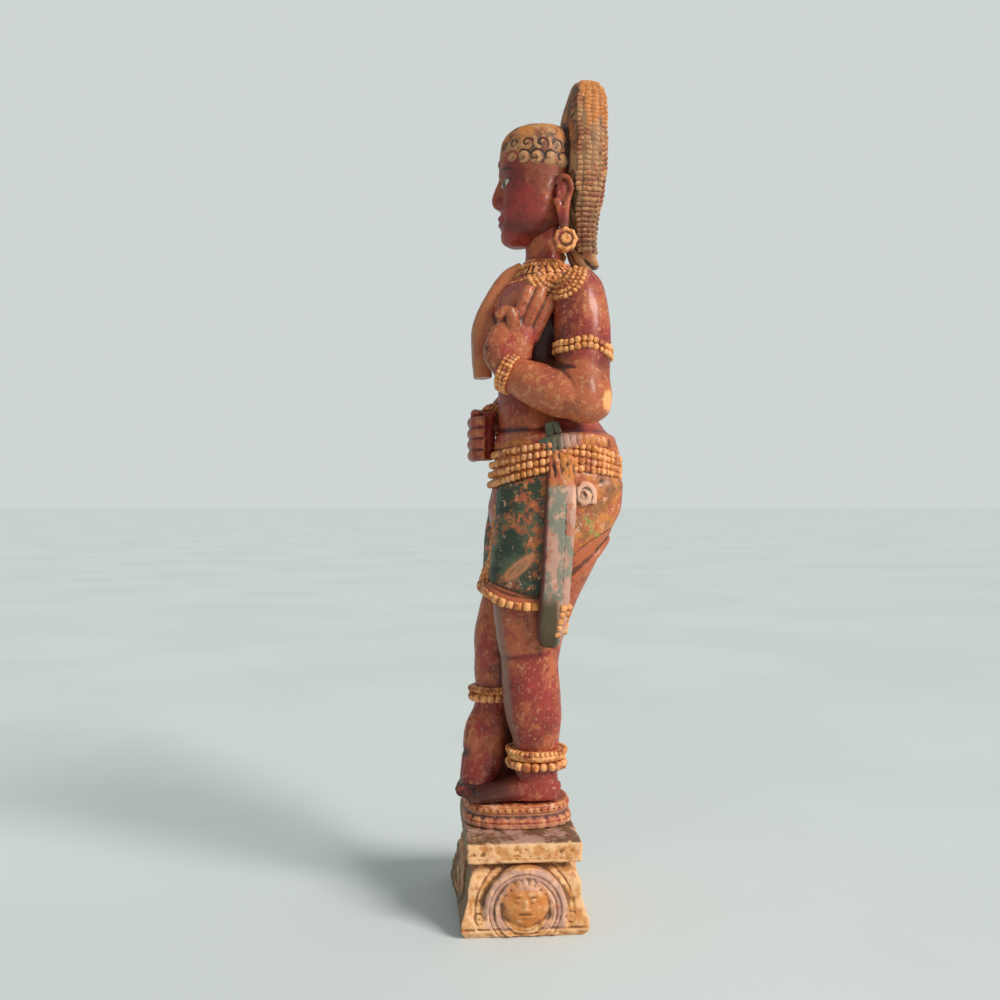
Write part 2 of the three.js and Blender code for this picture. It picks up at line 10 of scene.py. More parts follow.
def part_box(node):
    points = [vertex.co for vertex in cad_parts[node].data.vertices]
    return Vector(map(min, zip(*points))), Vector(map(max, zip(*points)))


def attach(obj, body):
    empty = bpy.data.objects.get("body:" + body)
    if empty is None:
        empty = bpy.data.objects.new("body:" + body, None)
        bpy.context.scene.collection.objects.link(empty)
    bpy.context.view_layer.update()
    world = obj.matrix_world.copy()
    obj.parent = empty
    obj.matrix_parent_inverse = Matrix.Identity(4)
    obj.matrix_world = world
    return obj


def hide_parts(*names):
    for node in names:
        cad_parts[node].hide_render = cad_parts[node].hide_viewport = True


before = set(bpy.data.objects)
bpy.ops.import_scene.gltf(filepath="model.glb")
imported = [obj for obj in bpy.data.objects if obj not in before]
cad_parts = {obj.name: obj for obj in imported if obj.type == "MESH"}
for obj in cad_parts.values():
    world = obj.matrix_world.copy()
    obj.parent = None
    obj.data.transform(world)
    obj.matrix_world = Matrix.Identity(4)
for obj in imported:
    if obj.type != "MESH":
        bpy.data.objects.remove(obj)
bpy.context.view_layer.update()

bl_info = {
    "name": "Apsara statue",
    "version": (1, 0, 0),
    "blender": (4, 5, 0),
    "location": "3D View > Sidebar > Statue",
    "description": "Builds a carved and painted dancer on her plinth",
    "category": "Object",
}

MM = 0.001
FOOT_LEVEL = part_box("figure")[0][2]
X_AXIS = Vector((1, 0, 0))
Y_AXIS = Vector((0, 1, 0))
Z_AXIS = Vector((0, 0, 1))

# Tables in millimetres, heights from the top of the plinth.
# Rows of a body are x, y, z, half width, half depth and turn in degrees.
CHEST_TURN = 22
TORSO = [
    [0, 37, 308, 60, 62, 0], [1, 38, 336, 67, 70, 0], [2, 42, 361, 70, 69, 0], [4, 43, 388, 68, 68, 2],
    [4, 42, 405, 66, 66, 4], [4, 41, 416, 64, 65, 4], [4, 39, 420, 57, 59, 5], [3, 34, 434, 51, 54, 8],
    [1, 26, 456, 45, 46, 12], [0, 24, 481, 47, 44, 16], [-1, 23, 506, 53, 45, 19],
    [-1, 22, 536, 59, 47, CHEST_TURN], [0, 22, 561, 61, 48, CHEST_TURN], [0, 25, 581, 53, 38, CHEST_TURN],
    [0, 30, 596, 34, 25, 18], [0, 29.5, 606, 22, 21, 8], [0, 29, 620, 19.5, 19.5, 0], [0, 27, 646, 20, 21, 0],
]
LEFT_LEG = [
    [22, 15, 28, 21, 29], [22, 19.5, 43, 20, 23.5], [22, 19, 66, 20, 22.5], [22, 18.5, 88, 22, 24.5],
    [23, 15.5, 116, 26, 30.5], [24, 13, 146, 28, 31.5], [25, 11, 173, 29, 31], [26, 11, 198, 30, 35.5],
    [28, 14, 226, 31.5, 41.5], [30, 20, 256, 33, 49], [32, 28, 284, 33.5, 55], [33, 32, 306, 34, 56],
    [34, 44, 346, 34, 64],
]
RIGHT_LEG = [
    [-13, -46, 26, 23, 16], [-13.5, -42, 40, 23, 20], [-14, -36, 56, 21.5, 25], [-14, -33, 78, 20, 26],
    [-15, -29, 100, 19, 27], [-16, -27, 118, 18.5, 20], [-17, -24, 136, 20, 20.5], [-20, -19.5, 156, 24, 26.5],
    [-22, -15, 176, 27, 30.5], [-25, -11, 201, 29, 34.5], [-27, -4, 226, 30.5, 36], [-31, 8, 266, 32, 38],
    [-33, 23, 306, 33, 52], [-34, 41, 346, 34, 61],
]
HEAD = [
    [0, 1, 624, 9, 8], [0, 3, 628, 17, 17], [0, 9, 637, 27, 27], [0, 16, 653, 34, 34], [0, 20, 673, 38, 38],
    [0, 22, 693, 41, 41], [0, 23, 713, 41.5, 42.5], [0, 24, 733, 39, 40], [0, 25, 747, 31, 32],
    [0, 26, 755, 16, 16],
]
HAIR_ROLL = [
    [0, 83, 603, 12, 8], [0, 72, 619, 26, 13], [0, 69, 646, 40, 16], [0, 70, 676, 50, 20],
    [0, 71, 706, 54, 22.5], [0, 72, 736, 52, 23], [0, 72.5, 766, 44, 23], [0, 75, 786, 34, 20],
    [0, 76, 800, 20, 16], [0, 77, 806, 9, 11],
]
# Rows of a limb are x, y, z, half size along its side and half size across.
LEFT_UPPER_ARM = [
    [54, 50, 580, 14, 15], [63, 57, 567, 25, 26], [71, 60, 538, 28, 29], [75, 61, 506, 27.5, 29],
    [78, 60, 474, 27, 28.5], [79, 61, 452, 26, 30], [79, 63, 436, 21, 25], [79, 63, 427, 8, 10],
]
LEFT_FOREARM = [
    [79, 52, 455, 25, 25], [77, 34, 459, 26, 26], [72, 12, 467, 23, 23], [65, -4, 475, 19, 20],
    [59, -17, 482, 16, 17],
]
LEFT_PALM = [
    [60, -15, 483, 17, 13], [62, -16, 496, 25, 13.5], [64, -13, 509, 24.5, 13], [64, -6, 522, 21.5, 12],
    [63, 2, 532, 16, 10],
]
LEFT_FINGERS = [
    [[64, -9, 524, 8, 7], [69, -3, 541, 7, 6.6], [70, 3, 556, 6.6, 6.2], [67, 7, 568, 5.6, 5.2]],
    [[65, 1, 520, 8, 7], [71, 8, 539, 7, 6.6], [72, 15, 554, 6.6, 6.2], [69, 20, 567, 5.6, 5.2]],
    [[64, 9, 514, 7.6, 7], [69, 18, 532, 6.8, 6.4], [70, 26, 547, 6.4, 6], [67, 32, 559, 5.4, 5]],
    [[56, 8, 512, 7, 6.4], [58, 18, 528, 6, 5.6], [57, 26, 543, 5.4, 5.2], [54, 31, 553, 4.4, 4.2]],
    [[66, -12, 516, 8, 7.4], [73, -11, 530, 7, 6.6], [74, -14, 541, 6.2, 5.8], [73, -21, 541, 5.6, 5.2],
     [72, -27, 535, 4.6, 4.4]],
]
RIGHT_UPPER_ARM = [
    [-50, 12, 580, 14, 15], [-59, 8, 567, 25, 26], [-68, 9, 538, 28, 27], [-74, 13, 506, 27.5, 27],
    [-79, 17, 474, 26, 27], [-79.5, 18, 452, 24.2, 26], [-80, 18, 437, 20, 21], [-80, 18, 430, 8, 8],
]
RIGHT_FOREARM = [
    [-79.5, 16, 455, 24.2, 25], [-72, 3, 454, 24, 22], [-60, -8, 450, 19, 17], [-46, -18, 443, 15, 12],
    [-34, -25, 435, 12, 11],
]
RIGHT_PALM = [
    [-18, -35, 391.5, 15, 9], [-17, -37, 397, 19, 12.5], [-16, -37, 414, 20, 14], [-18, -37, 434, 19, 13],
    [-24, -31, 445, 14, 12],
]
RIGHT_THUMB = [[-34, -34, 441, 7, 7], [-20, -44, 443, 6, 6], [-4, -45, 441, 5, 5]]
LEFT_FOOT = [
    [22, 42, 34, 11, 8], [22, 35, 37, 17, 12.5], [22, 15, 40, 19, 15.5], [22, -12, 37, 21, 12.5],
    [21, -34, 33, 23, 8.5], [21, -46, 31, 21, 6.5],
]
TOES = [[-0.84, 11, 6.4], [-0.38, 11.5, 4.9], [0.04, 10.5, 4.7], [0.43, 9.5, 4.5], [0.8, 8, 4.2]]
SASH_FOLD = [
    [64, 26, 196, 4, 8], [67, 27, 204, 7, 12.5], [71, 29, 219, 8.5, 15.5], [74, 33, 262, 8, 15.5],
    [75, 36, 310, 7.5, 16], [74, 38, 352, 7, 16], [70, 36, 392, 6, 12], [62, 30, 428, 5, 7],
]
COLLAR = [[0, 27, 578, 50, 36, 18], [0, 28, 590, 46, 33, 18], [0, 29, 600, 32, 26, 14], [0, 29, 608, 23, 22, 0]]
GARLAND = [
    [-4, 8, 602, 11, 8], [-7, -9, 589, 13, 11], [-10, -25, 563, 16, 12.5], [-12, -37, 536, 17, 12],
    [-12, -38, 508, 16, 11], [-12, -37, 482, 15, 10],
]
# Heights, half widths and half depths.
CLOTH_TOP = 372
LEG_TOP = 344
PAD_HEIGHT = 25
PAD_WIDE = 46
PAD_DEEP = 59
PLINTH_WIDE = 86
PLINTH_DEEP = 59
PLINTH_HEIGHT = 94
BLOCK_HEIGHT = 67
ARCH_RADIUS = 43
ARCH_CENTRE = 27
# Share of the block's height and how far its side draws in there.
BLOCK_PROFILE = [[0, -2], [0.1, -6.5], [0.24, -6.5], [0.36, -3], [0.54, 0.5], [0.78, 1], [0.92, 5], [1, 12]]
# Share of the cloth's height and how far it stands off the leg there.
CLOTH_LAYERS = [[0, 7.5], [0.03, 9], [0.08, 9], [0.1, 5], [0.5, 5], [0.9, 4.5], [1, 0]]
# How far down their arms the rings and strings sit.
WRIST = 0.9
ARM_STRING = 0.44

# The camera: its place in metres, its turn in degrees and its lens in millimetres.
VIEW_SPOT = (1.1387, -0.1083, 0.442)
VIEW_TURN = 4.5
VIEW_LENS = 37.55
# Strength of the plain gloss on every paint.
SHINE = 0.22


# Shapes.
def row_at(rows, t):
    """The numbers part-way down a table, on a smooth curve through its rows."""
    place = min(max(t, 0.0), 1.0) * (len(rows) - 1)
    i = min(int(place), len(rows) - 2)
    f = place - i
    before = rows[max(i - 1, 0)]
    after = rows[min(i + 2, len(rows) - 1)]
    found = []
    for b, p, q, a in zip(before, rows[i], rows[i + 1], after):
        m = (q - b) / 2
        n = (a - p) / 2
        f2 = f * f
        f3 = f2 * f
        found.append((2 * f3 - 3 * f2 + 1) * p + (f3 - 2 * f2 + f) * m + (3 * f2 - 2 * f3) * q + (f3 - f2) * n)
    return found


def place_of_height(rows, z):
    """How far down the table the height z comes."""
    low, high = 0.0, 1.0
    for _ in range(18):
        middle = (low + high) / 2
        if row_at(rows, middle)[2] < z:
            low = middle
        else:
            high = middle
    return (low + high) / 2


def rim(angle, a, b, power):
    """A point on a rounded outline: power 2 is an ellipse, more is squarer."""
    c, s = math.cos(angle), math.sin(angle)
    return (
        math.copysign(abs(c) ** (2 / power), c) * a,
        math.copysign(abs(s) ** (2 / power), s) * b,
    )


def formed(bm, sides, steps, place, start=0.0):
    """Adds a ball and moves each point of it: place(t, angle, rho) says where it goes."""
    ball = bmesh.ops.create_uvsphere(bm, u_segments=sides, v_segments=steps + 2, radius=1.0)
    for vert in ball["verts"]:
        ring = math.acos(min(max(-vert.co.z, -1.0), 1.0)) / math.pi * (steps + 2)
        t = min(max((ring - 1) / steps, 0.0), 1.0)
        rho = 0.0 if ring < 0.5 or ring > steps + 1.5 else 1.0
        vert.co = place(t, math.atan2(vert.co.y, vert.co.x) + start, rho)
    return ball["verts"]


def trunk(bm, rows, sides=40, steps=None, power=2.2):
    """Adds a body of level slices."""

    def place(t, angle, rho):
        row = row_at(rows, t)
        u, v = rim(angle, row[3], row[4], power)
        turn = math.radians(row[5]) if len(row) > 5 else 0.0
        c, s = math.cos(turn), math.sin(turn)
        return Vector((row[0] + (u * c - v * s) * rho, row[1] + (u * s + v * c) * rho, row[2]))

    return formed(bm, sides, steps or len(rows) * 4, place)


def limb(bm, rows, side=X_AXIS, sides=20, steps=None, power=2.0):
    """Adds a limb whose slices stand square to its run."""
    run = [row[:3] for row in rows]

    def place(t, angle, rho):
        x, y, z, a, b = row_at(rows, t)
        forward = (Vector(row_at(run, t + 0.02)) - Vector(row_at(run, t - 0.02))).normalized()
        across = (side - forward * side.dot(forward)).normalized()
        u, v = rim(angle, a, b, power)
        return Vector((x, y, z)) + across * u * rho + forward.cross(across) * v * rho

    return formed(bm, sides, steps or len(rows) * 4, place)


def lump(bm, centre, size, sides=20, turn=None):
    """Adds a rounded lump."""
    placed = Matrix.Translation(centre)
    if turn:
        placed = placed @ turn.to_4x4()
    bmesh.ops.create_uvsphere(
        bm, u_segments=sides, v_segments=max(6, sides // 2), radius=1.0,
        matrix=placed @ Matrix.Diagonal((*size, 1.0)),
    )


def bead(bm, centre, along, outward, size, square):
    """Adds one carved bead, rounder with square near 1 and blockier below it."""
    ball = bmesh.ops.create_uvsphere(bm, u_segments=8, v_segments=6, radius=1.0)
    third = along.cross(outward)
    for vert in ball["verts"]:
        x, y, z = (math.copysign(abs(c) ** square, c) for c in vert.co)
        vert.co = centre + along * (x * size[0]) + outward * (y * size[1]) + third * (z * size[2])


def beads_along(bm, points, middle, size, square=1.0, closed=True, pitch=1.9):
    """Strings beads along a line of points; middle is what they face away from."""
    line = np.array([tuple(point) for point in points])
    if closed:
        line = np.vstack([line, line[:1]])
    walked = np.concatenate([[0], np.cumsum(np.linalg.norm(np.diff(line, axis=0), axis=1))])
    count = max(2, round(walked[-1] / (size[0] * pitch)))
    steps = np.arange(count) + 0.5
    string = bmesh.new()
    for step in steps * walked[-1] / count:
        here = Vector([np.interp(step, walked, line[:, k]) for k in range(3)])
        ahead = Vector([np.interp(step + 0.6, walked, line[:, k]) for k in range(3)])
        behind = Vector([np.interp(step - 0.6, walked, line[:, k]) for k in range(3)])
        along = (ahead - behind).normalized()
        outward = here - Vector(middle(here))
        outward = (outward - along * outward.dot(along)).normalized()
        uneven = 1 + 0.09 * math.sin(step * 2.3) + 0.06 * math.sin(step * 0.7)
        bead(string, here, along, outward, [part * uneven for part in size], square)
    laid = bpy.data.meshes.new("string")
    string.to_mesh(laid)
    string.free()
    bm.from_mesh(laid)
    bpy.data.meshes.remove(laid)


def girth(row, extra, lift=lambda angle: 0.0, power=2.2, count=160):
    """Points round one slice of a body, raised by lift."""
    x, y, z, a, b = row[:5]
    turn = math.radians(row[5]) if len(row) > 5 else 0.0
    c, s = math.cos(turn), math.sin(turn)
    points = []
    for i in range(count):
        angle = 2 * math.pi * i / count
        u, v = rim(angle, a + extra, b + extra, power)
        points.append((x + u * c - v * s, y + u * s + v * c, z + lift(angle)))
    return points


def band(bm, points, middle, thick, tall, sides=12):
    """Adds a closed hoop along a line of points."""
    line = [Vector(point) for point in points]
    count = len(line)
    hoop = bmesh.ops.create_circle(bm, segments=sides, radius=1.0)["verts"]
    rings = [hoop]
    edges = list({edge for vert in hoop for edge in vert.link_edges})
    for _ in range(count - 1):
        grown = bmesh.ops.extrude_edge_only(bm, edges=edges)["geom"]
        edges = [item for item in grown if isinstance(item, bmesh.types.BMEdge)
                 and all(vert in grown for vert in item.verts)]
        rings.append([item for item in grown if isinstance(item, bmesh.types.BMVert)])
    for i, ring in enumerate(rings):
        along = (line[(i + 1) % count] - line[i - 1]).normalized()
        outward = line[i] - Vector(middle(line[i]))
        outward = (outward - along * outward.dot(along)).normalized()
        up = along.cross(outward)
        for k, vert in enumerate(ring):
            angle = 2 * math.pi * k / sides
            vert.co = line[i] + outward * math.cos(angle) * thick + up * math.sin(angle) * tall
    first = [edge for edge in bm.edges if edge.is_boundary and all(vert in rings[0] for vert in edge.verts)]
    last = [edge for edge in bm.edges if edge.is_boundary and all(vert in rings[-1] for vert in edge.verts)]
    bmesh.ops.bridge_loops(bm, edges=first + last)


def chest_spot(lateral, forward, z):
    """A point of the turned chest."""
    turn = math.radians(CHEST_TURN)
    return Vector((
        lateral * math.cos(turn) + forward * math.sin(turn),
        24 + lateral * math.sin(turn) - forward * math.cos(turn),
        z,
    ))


# Surface work on a whole piece.
def points_of(mesh):
    """The places of a mesh's points."""
    found = np.empty(len(mesh.vertices) * 3, dtype=np.float32)
    mesh.vertices.foreach_get("co", found)
    return found.reshape(-1, 3).astype(float)


def edges_of(mesh):
    """The pairs of points that a mesh's edges join."""
    found = np.empty(len(mesh.edges) * 2, dtype=np.int32)
    mesh.edges.foreach_get("vertices", found)
    return found.reshape(-1, 2)


def shown(name, data):
    """A new object in the scene."""
    made = bpy.data.objects.new(name, data)
    bpy.context.scene.collection.objects.link(made)
    return made


def eased(spots, edges, times, share=0.5):
    """Each point moved part-way to the mean of its neighbours."""
    count = len(spots)
    near = np.bincount(edges.ravel(), minlength=count)[:, None]
    for _ in range(times):
        total = np.empty_like(spots)
        for k in range(spots.shape[1]):
            total[:, k] = np.bincount(edges[:, 0], spots[edges[:, 1], k], count)
            total[:, k] += np.bincount(edges[:, 1], spots[edges[:, 0], k], count)
        spots = spots + share * (total / near - spots)
    return spots


def facing(mesh, spots):
    """Sets the points and gives back the way that each faces."""
    mesh.vertices.foreach_set("co", spots.astype(np.float32).ravel())
    mesh.update()
    found = np.empty(len(spots) * 3, dtype=np.float32)
    mesh.vertex_normals.foreach_get("vector", found)
    return found.reshape(-1, 3).astype(float)


def soft(distance, width):
    """1 at distance 0, falling smoothly to nothing over about the width."""
    return np.exp(-((distance / width) ** 2))


def slope(value, low, high):
    """0 below low, 1 above high, smooth between."""
    t = np.clip((value - low) / (high - low), 0, 1)
    return t * t * (3 - 2 * t)


def fall(value, full, end):
    """1 below full, 0 above end, smooth between."""
    return slope(-value, -end, -full)


def hill(u, wide, v, tall):
    """A round hill, 1 at its top."""
    return np.exp(-((u / wide) ** 2) - (v / tall) ** 2)


def toolwork(spots, size, seed):
    """A gentle unevenness such as a chisel leaves, from -1 to 1."""
    chance = np.random.default_rng(seed)
    total = np.zeros(len(spots))
    for _ in range(7):
        way = chance.normal(size=3)
        way *= chance.uniform(0.7, 1.5) * 2 * math.pi / size / np.linalg.norm(way)
        total += np.sin(spots @ way + chance.uniform(0, 6.28))
    return total / 4


def carve(bm, name, voxel, relief=None, marks=None, ease=3, level=FOOT_LEVEL, ridge_size=0.35):
    """Fuses the forms into one skin, cuts the relief and marks ridges, hollows and painted zones."""
    bmesh.ops.recalc_face_normals(bm, faces=bm.faces)
    rough = bpy.data.meshes.new(name)
    bm.to_mesh(rough)
    bm.free()
    block = shown(name + "_block", rough)
    skin = block.modifiers.new("Skin", "REMESH")
    skin.mode = "VOXEL"
    skin.voxel_size = voxel
    mesh = bpy.data.meshes.new_from_object(block.evaluated_get(bpy.context.evaluated_depsgraph_get()))
    bpy.data.objects.remove(block)
    bpy.data.meshes.remove(rough)
    if not len(mesh.vertices):
        raise RuntimeError(name + " has no skin")
    edges = edges_of(mesh)
    spots = eased(points_of(mesh), edges, ease)
    ways = facing(mesh, spots)
    before = spots.copy()
    if relief:
        spots = spots + ways * relief(spots, ways)[:, None]
        ways = facing(mesh, spots)
    fine = ((spots - eased(spots, edges, 6)) * ways).sum(1)
    broad = ((spots - eased(spots, edges, 40)) * ways).sum(1)
    keep_mark(mesh, "ridge", np.clip(fine / ridge_size + broad / (ridge_size * 5), -1, 1))
    for key, value in (marks(before, ways) if marks else {}).items():
        keep_mark(mesh, key, value)
    spots = spots * MM
    spots[:, 2] += level
    facing(mesh, spots)
    return placed(mesh, name)


def keep_mark(mesh, key, value):
    """Stores one number per point for the paint to read."""
    mark = mesh.attributes.new(key, "FLOAT", "POINT")
    mark.data.foreach_set("value", np.asarray(value, dtype=np.float32))


def placed(mesh, name):
    """The finished piece, riding on the figure's body."""
    mesh.name = name
    mesh.polygons.foreach_set("use_smooth", np.ones(len(mesh.polygons), dtype=bool))
    piece = shown(name, mesh)
    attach(piece, "root")
    return piece


def small_work(bm, name):
    """A piece of many small shapes, kept as they are."""
    bmesh.ops.recalc_face_normals(bm, faces=bm.faces)
    bmesh.ops.scale(bm, vec=(MM, MM, MM), verts=bm.verts)
    bmesh.ops.translate(bm, vec=(0, 0, FOOT_LEVEL), verts=bm.verts)
    mesh = bpy.data.meshes.new(name)
    bm.to_mesh(mesh)
    bm.free()
    spots = points_of(mesh)
    ways = facing(mesh, spots)
    bulge = ((spots - eased(spots, edges_of(mesh), 3)) * ways).sum(1) / MM
    keep_mark(mesh, "ridge", np.clip(bulge / 0.8, -1, 1))
    return placed(mesh, name)


def of_figure(context, piece, paint):
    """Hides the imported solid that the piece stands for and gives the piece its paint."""
    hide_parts("figure")
    piece.data.materials.append(paint_of(context, paint))
    return {"FINISHED"}


# Paint.
class Paintbox:
    """One painted finish, whose coats go on in turn; masks are noise patches and the zones kept on a mesh."""

    def __init__(self, name, tones):
        self.tones = tones
        material = bpy.data.materials.new(name)
        material.use_nodes = True
        self.tree = material.node_tree
        self.shader = self.tree.nodes["Principled BSDF"]
        self.place = self.node("TexCoord").outputs["Object"]
        self.zones = {}

    def node(self, kind, **settings):
        """A new node with its sockets plugged or set by name."""
        made = self.tree.nodes.new("ShaderNode" + kind)
        for socket, value in settings.items():
            self.plug(value, made.inputs[socket.replace("_", " ")])
        return made

    def plug(self, value, socket):
        """Links a socket to another, or sets it to a plain value."""
        if isinstance(value, bpy.types.NodeSocket):
            self.tree.links.new(value, socket)
        else:
            socket.default_value = value

    def varnish(self, roughness, coat=0.0, coat_roughness=0.3):
        """Sets the gloss of the paint and of the clear coat over it."""
        for socket, value in (("Roughness", roughness), ("Coat Weight", coat), ("Coat Roughness", coat_roughness),
                              ("Specular IOR Level", SHINE)):
            self.shader.inputs[socket].default_value = value

    def noise(self, scale, detail, rough, shift=0.0, stretch=(1, 1, 1)):
        """Noise over the piece, from 0 to 1."""
        mapping = self.node("Mapping", Vector=self.place, Scale=stretch, Location=(shift, shift * 0.7, shift * 1.3))
        node = self.node("TexNoise", Vector=mapping.outputs["Vector"], Scale=scale, Detail=detail, Roughness=rough)
        return node.outputs["Fac"]

    def zone(self, name):
        """The numbers kept on the mesh under this name."""
        if name not in self.zones:
            node = self.node("Attribute")
            node.attribute_name = name
            self.zones[name] = node.outputs["Fac"]
        return self.zones[name]

    def maths(self, kind, a, b):
        node = self.node("Math")
        node.operation = kind
        self.plug(a, node.inputs[0])
        self.plug(b, node.inputs[1])
        return node.outputs["Value"]

    def step(self, value, low, high):
        """0 below low, 1 above high, smooth between."""
        node = self.node("MapRange", Value=value, From_Min=low, From_Max=high)
        node.interpolation_type = "SMOOTHSTEP"
        return node.outputs["Result"]

    def more(self, value, **shares):
        """A value with shares of named zones added."""
        for name, share in shares.items():
            value = self.maths("ADD", value, self.maths("MULTIPLY", self.zone(name), share))
        return value

    def patches(self, scale, detail, rough, shift, low, high, **shares):
        """Soft-edged patches of noise, more of them where a named zone has a share."""
        return self.step(self.more(self.noise(scale, detail, rough, shift), **shares), low, high)

    def hollows(self, low, high):
        """Painted shade in the hollows of the carving, 0 where shallower than low and 1 where deeper than high."""
        return self.step(self.maths("MULTIPLY", self.zone("ridge"), -1.0), low, high)

    def tone(self, name):
        """A tone by its name, as a node wants it."""
        return (*getattr(self.tones, name)[:3], 1.0)

    def blend(self, a, b, share):
        node = self.node("Mix")
        node.data_type = "RGBA"
        self.plug(share, node.inputs["Factor"])
        self.plug(a, node.inputs[6])
        self.plug(b, node.inputs[7])
        return node.outputs[2]

    def mixed(self, first, second, share):
        """Two tones by name, mixed."""
        return self.blend(self.tone(first), self.tone(second), share)

    def over(self, coat, share, *shares):
        """Lays a tone or a mix over what is there, as strong as its shares multiplied."""
        for part in shares:
            share = self.maths("MULTIPLY", share, part)
        self.base = self.blend(self.base, self.tone(coat) if isinstance(coat, str) else coat, share)

    def finish(self, height, strength, distance):
        """Gives the shader the coats and a fine roughness made from height."""
        self.plug(self.base, self.shader.inputs["Base Color"])
        bump = self.node("Bump", Height=height, Strength=strength, Distance=distance)
        self.plug(bump.outputs["Normal"], self.shader.inputs["Normal"])


def skin_paint(box):
    """Old deep red paint, rubbed to orange-brown and speckled with bare ground; painted shade in hollows and shaded
    parts, painted reflection on the shin.
    """
    box.varnish(0.45, 0.30, 0.16)
    worn = box.maths("SUBTRACT", 1.0, box.zone("plain"))
    broad = box.noise(19, 6, 0.70)
    crumb = box.noise(460, 3, 0.75, 7)
    box.base = box.mixed("skin", "rubbed", box.step(box.more(broad, ridge=0.08, warm=0.17, red=-0.12), 0.50, 0.63))
    box.over("crimson", box.patches(26, 5, 0.7, 41, 0.52, 0.60), 0.8)
    box.over("deep", box.patches(14, 6, 0.72, 11, 0.50, 0.62), 0.6)
    box.over("rubbed", box.zone("pale"), 0.6)
    box.over("ground", box.patches(190, 5, 0.75, 3, 0.60, 0.66, ridge=0.06, warm=0.02), worn, 0.5)
    box.over("ground", box.step(box.more(crumb, warm=0.03), 0.62, 0.70), 0.35)
    scuff = box.more(box.noise(70, 6, 0.78, 29, (1, 1, 0.6)), warm=0.02)
    box.over("ground", box.step(scuff, 0.57, 0.66), worn, 0.28)
    box.over("gold", box.zone("gilt"), 0.85)
    # Grey-brown painted reflection of the pale surroundings on the front of the shin and the garland, with some dust.
    box.over("shin", box.zone("shin"), 0.8)
    # Painted shade in the hollows.
    box.over("dirt", box.hollows(0.15, 0.95), 0.8)
    box.over("dirt", box.patches(60, 6, 0.78, 19, 0.55, 0.66), worn, 0.5)
    box.over("bright_gold", box.zone("chip"))
    # Painted shade on the far foot, between the legs, fingers and arm and under the jaw, broken up by noise.
    painted_shade = box.maths("MULTIPLY", box.zone("painted_shade"), box.step(box.more(broad, ridge=-0.1), 0.20, 0.48))
    box.over("deep", painted_shade)
    box.over("dirt", painted_shade, 0.65)
    # Painted brows, lids and eyes; on the garland the brow zone is painted shade along its hidden back edge.
    for coat, zone in (("dirt", "brow"), ("eye_white", "eyewhite"), ("pupil", "pupil")):
        box.over(coat, box.zone(zone))
    uneven = box.maths("MULTIPLY", box.noise(26, 4, 0.6, 23), 0.40)
    box.plug(box.maths("ADD", 0.26, uneven), box.shader.inputs["Roughness"])
    height = box.maths("ADD", box.noise(60, 6, 0.65, 5), box.maths("MULTIPLY", crumb, 0.4))
    box.finish(height, 0.5, 0.0009)


def gold_paint(box):
    """Ochre gold over red-brown ground, with painted shade between the beads."""
    box.varnish(0.5, 0.15, 0.22)
    box.base = box.mixed("rubbed", "gold", box.patches(42, 5, 0.7, 2, 0.48, 0.58, ridge=0.18))
    box.over("bright_gold", box.patches(110, 5, 0.7, 8, 0.54, 0.63, ridge=0.12), 0.9)
    # Painted shade in the hollows and between the beads.
    box.over("dirt", box.hollows(-0.05, 0.45), 0.85)
    box.over("skin", box.patches(62, 6, 0.75, 15, 0.52, 0.60), 0.7)
    box.over("blossom", box.patches(70, 5, 0.7, 25, 0.58, 0.65), 0.6)
    box.finish(box.noise(120, 5, 0.7, 4), 0.4, 0.0006)


def hair_paint(box):
    """Tan-gold and brown hair, reddish lower down and greyer at its front."""
    box.varnish(0.6, 0.08, 0.3)
    box.base = box.mixed("hair", "hair_tan", box.patches(30, 6, 0.72, 5, 0.46, 0.60, ridge=0.15))
    box.over("hair_red", box.patches(34, 5, 0.7, 31, 0.50, 0.60, red=0.10), 0.75)
    box.over("gold", box.patches(45, 6, 0.7, 9, 0.56, 0.72, gilt=0.30))
    box.over("ground", box.patches(140, 5, 0.75, 13, 0.59, 0.66, ridge=0.10), 0.65)
    # Painted shade in the hollows.
    box.over("dirt", box.hollows(0.0, 0.55), 0.8)
    box.over("hair", box.zone("low"), 0.35)
    box.over("dirt", box.zone("under"), 0.4)
    box.finish(box.noise(110, 5, 0.7, 6), 0.5, 0.0007)


def cloth_paint(box):
    """Dark green cloth with rubbed gold and pink flowers, ochre with green streaks at the back."""
    box.varnish(0.5, 0.15, 0.25)
    box.base = box.mixed("rubbed", "gold", box.patches(40, 6, 0.75, 6, 0.44, 0.56))
    box.over("blossom", box.patches(52, 6, 0.75, 45, 0.53, 0.62), 0.4)
    box.over("hair", box.patches(33, 6, 0.75, 47, 0.44, 0.58), 0.6)
    box.over("streak", box.zone("streak"))
    ochre = box.base
    box.base = box.mixed("cloth", "cloth_light", box.patches(30, 6, 0.7, 3, 0.46, 0.58))
    box.over(ochre, box.zone("back"))
    figured = box.patches(26, 3, 0.5, 27, 0.50, 0.58, figured=0.12)
    box.over("rubbed", box.patches(95, 6, 0.75, 17, 0.48, 0.56, ridge=0.06), figured, 0.9)
    box.over("gold", box.patches(120, 5, 0.75, 37, 0.54, 0.61), figured, 0.85)
    box.over("blossom", box.patches(105, 5, 0.7, 21, 0.58, 0.64), 0.7)
    box.over("leaf", box.zone("leaf"))
    box.over("rubbed", box.zone("border"), 0.9)
    box.over(box.mixed("rubbed", "gold", box.patches(90, 5, 0.7, 51, 0.46, 0.56)), box.zone("belt"))
    # Painted shade in the hollows.
    box.over("dirt", box.hollows(0.15, 0.8), 0.75)
    box.over("dirt", box.patches(75, 6, 0.8, 55, 0.56, 0.66), 0.45)
    box.finish(box.noise(80, 6, 0.7, 2), 0.4, 0.0007)


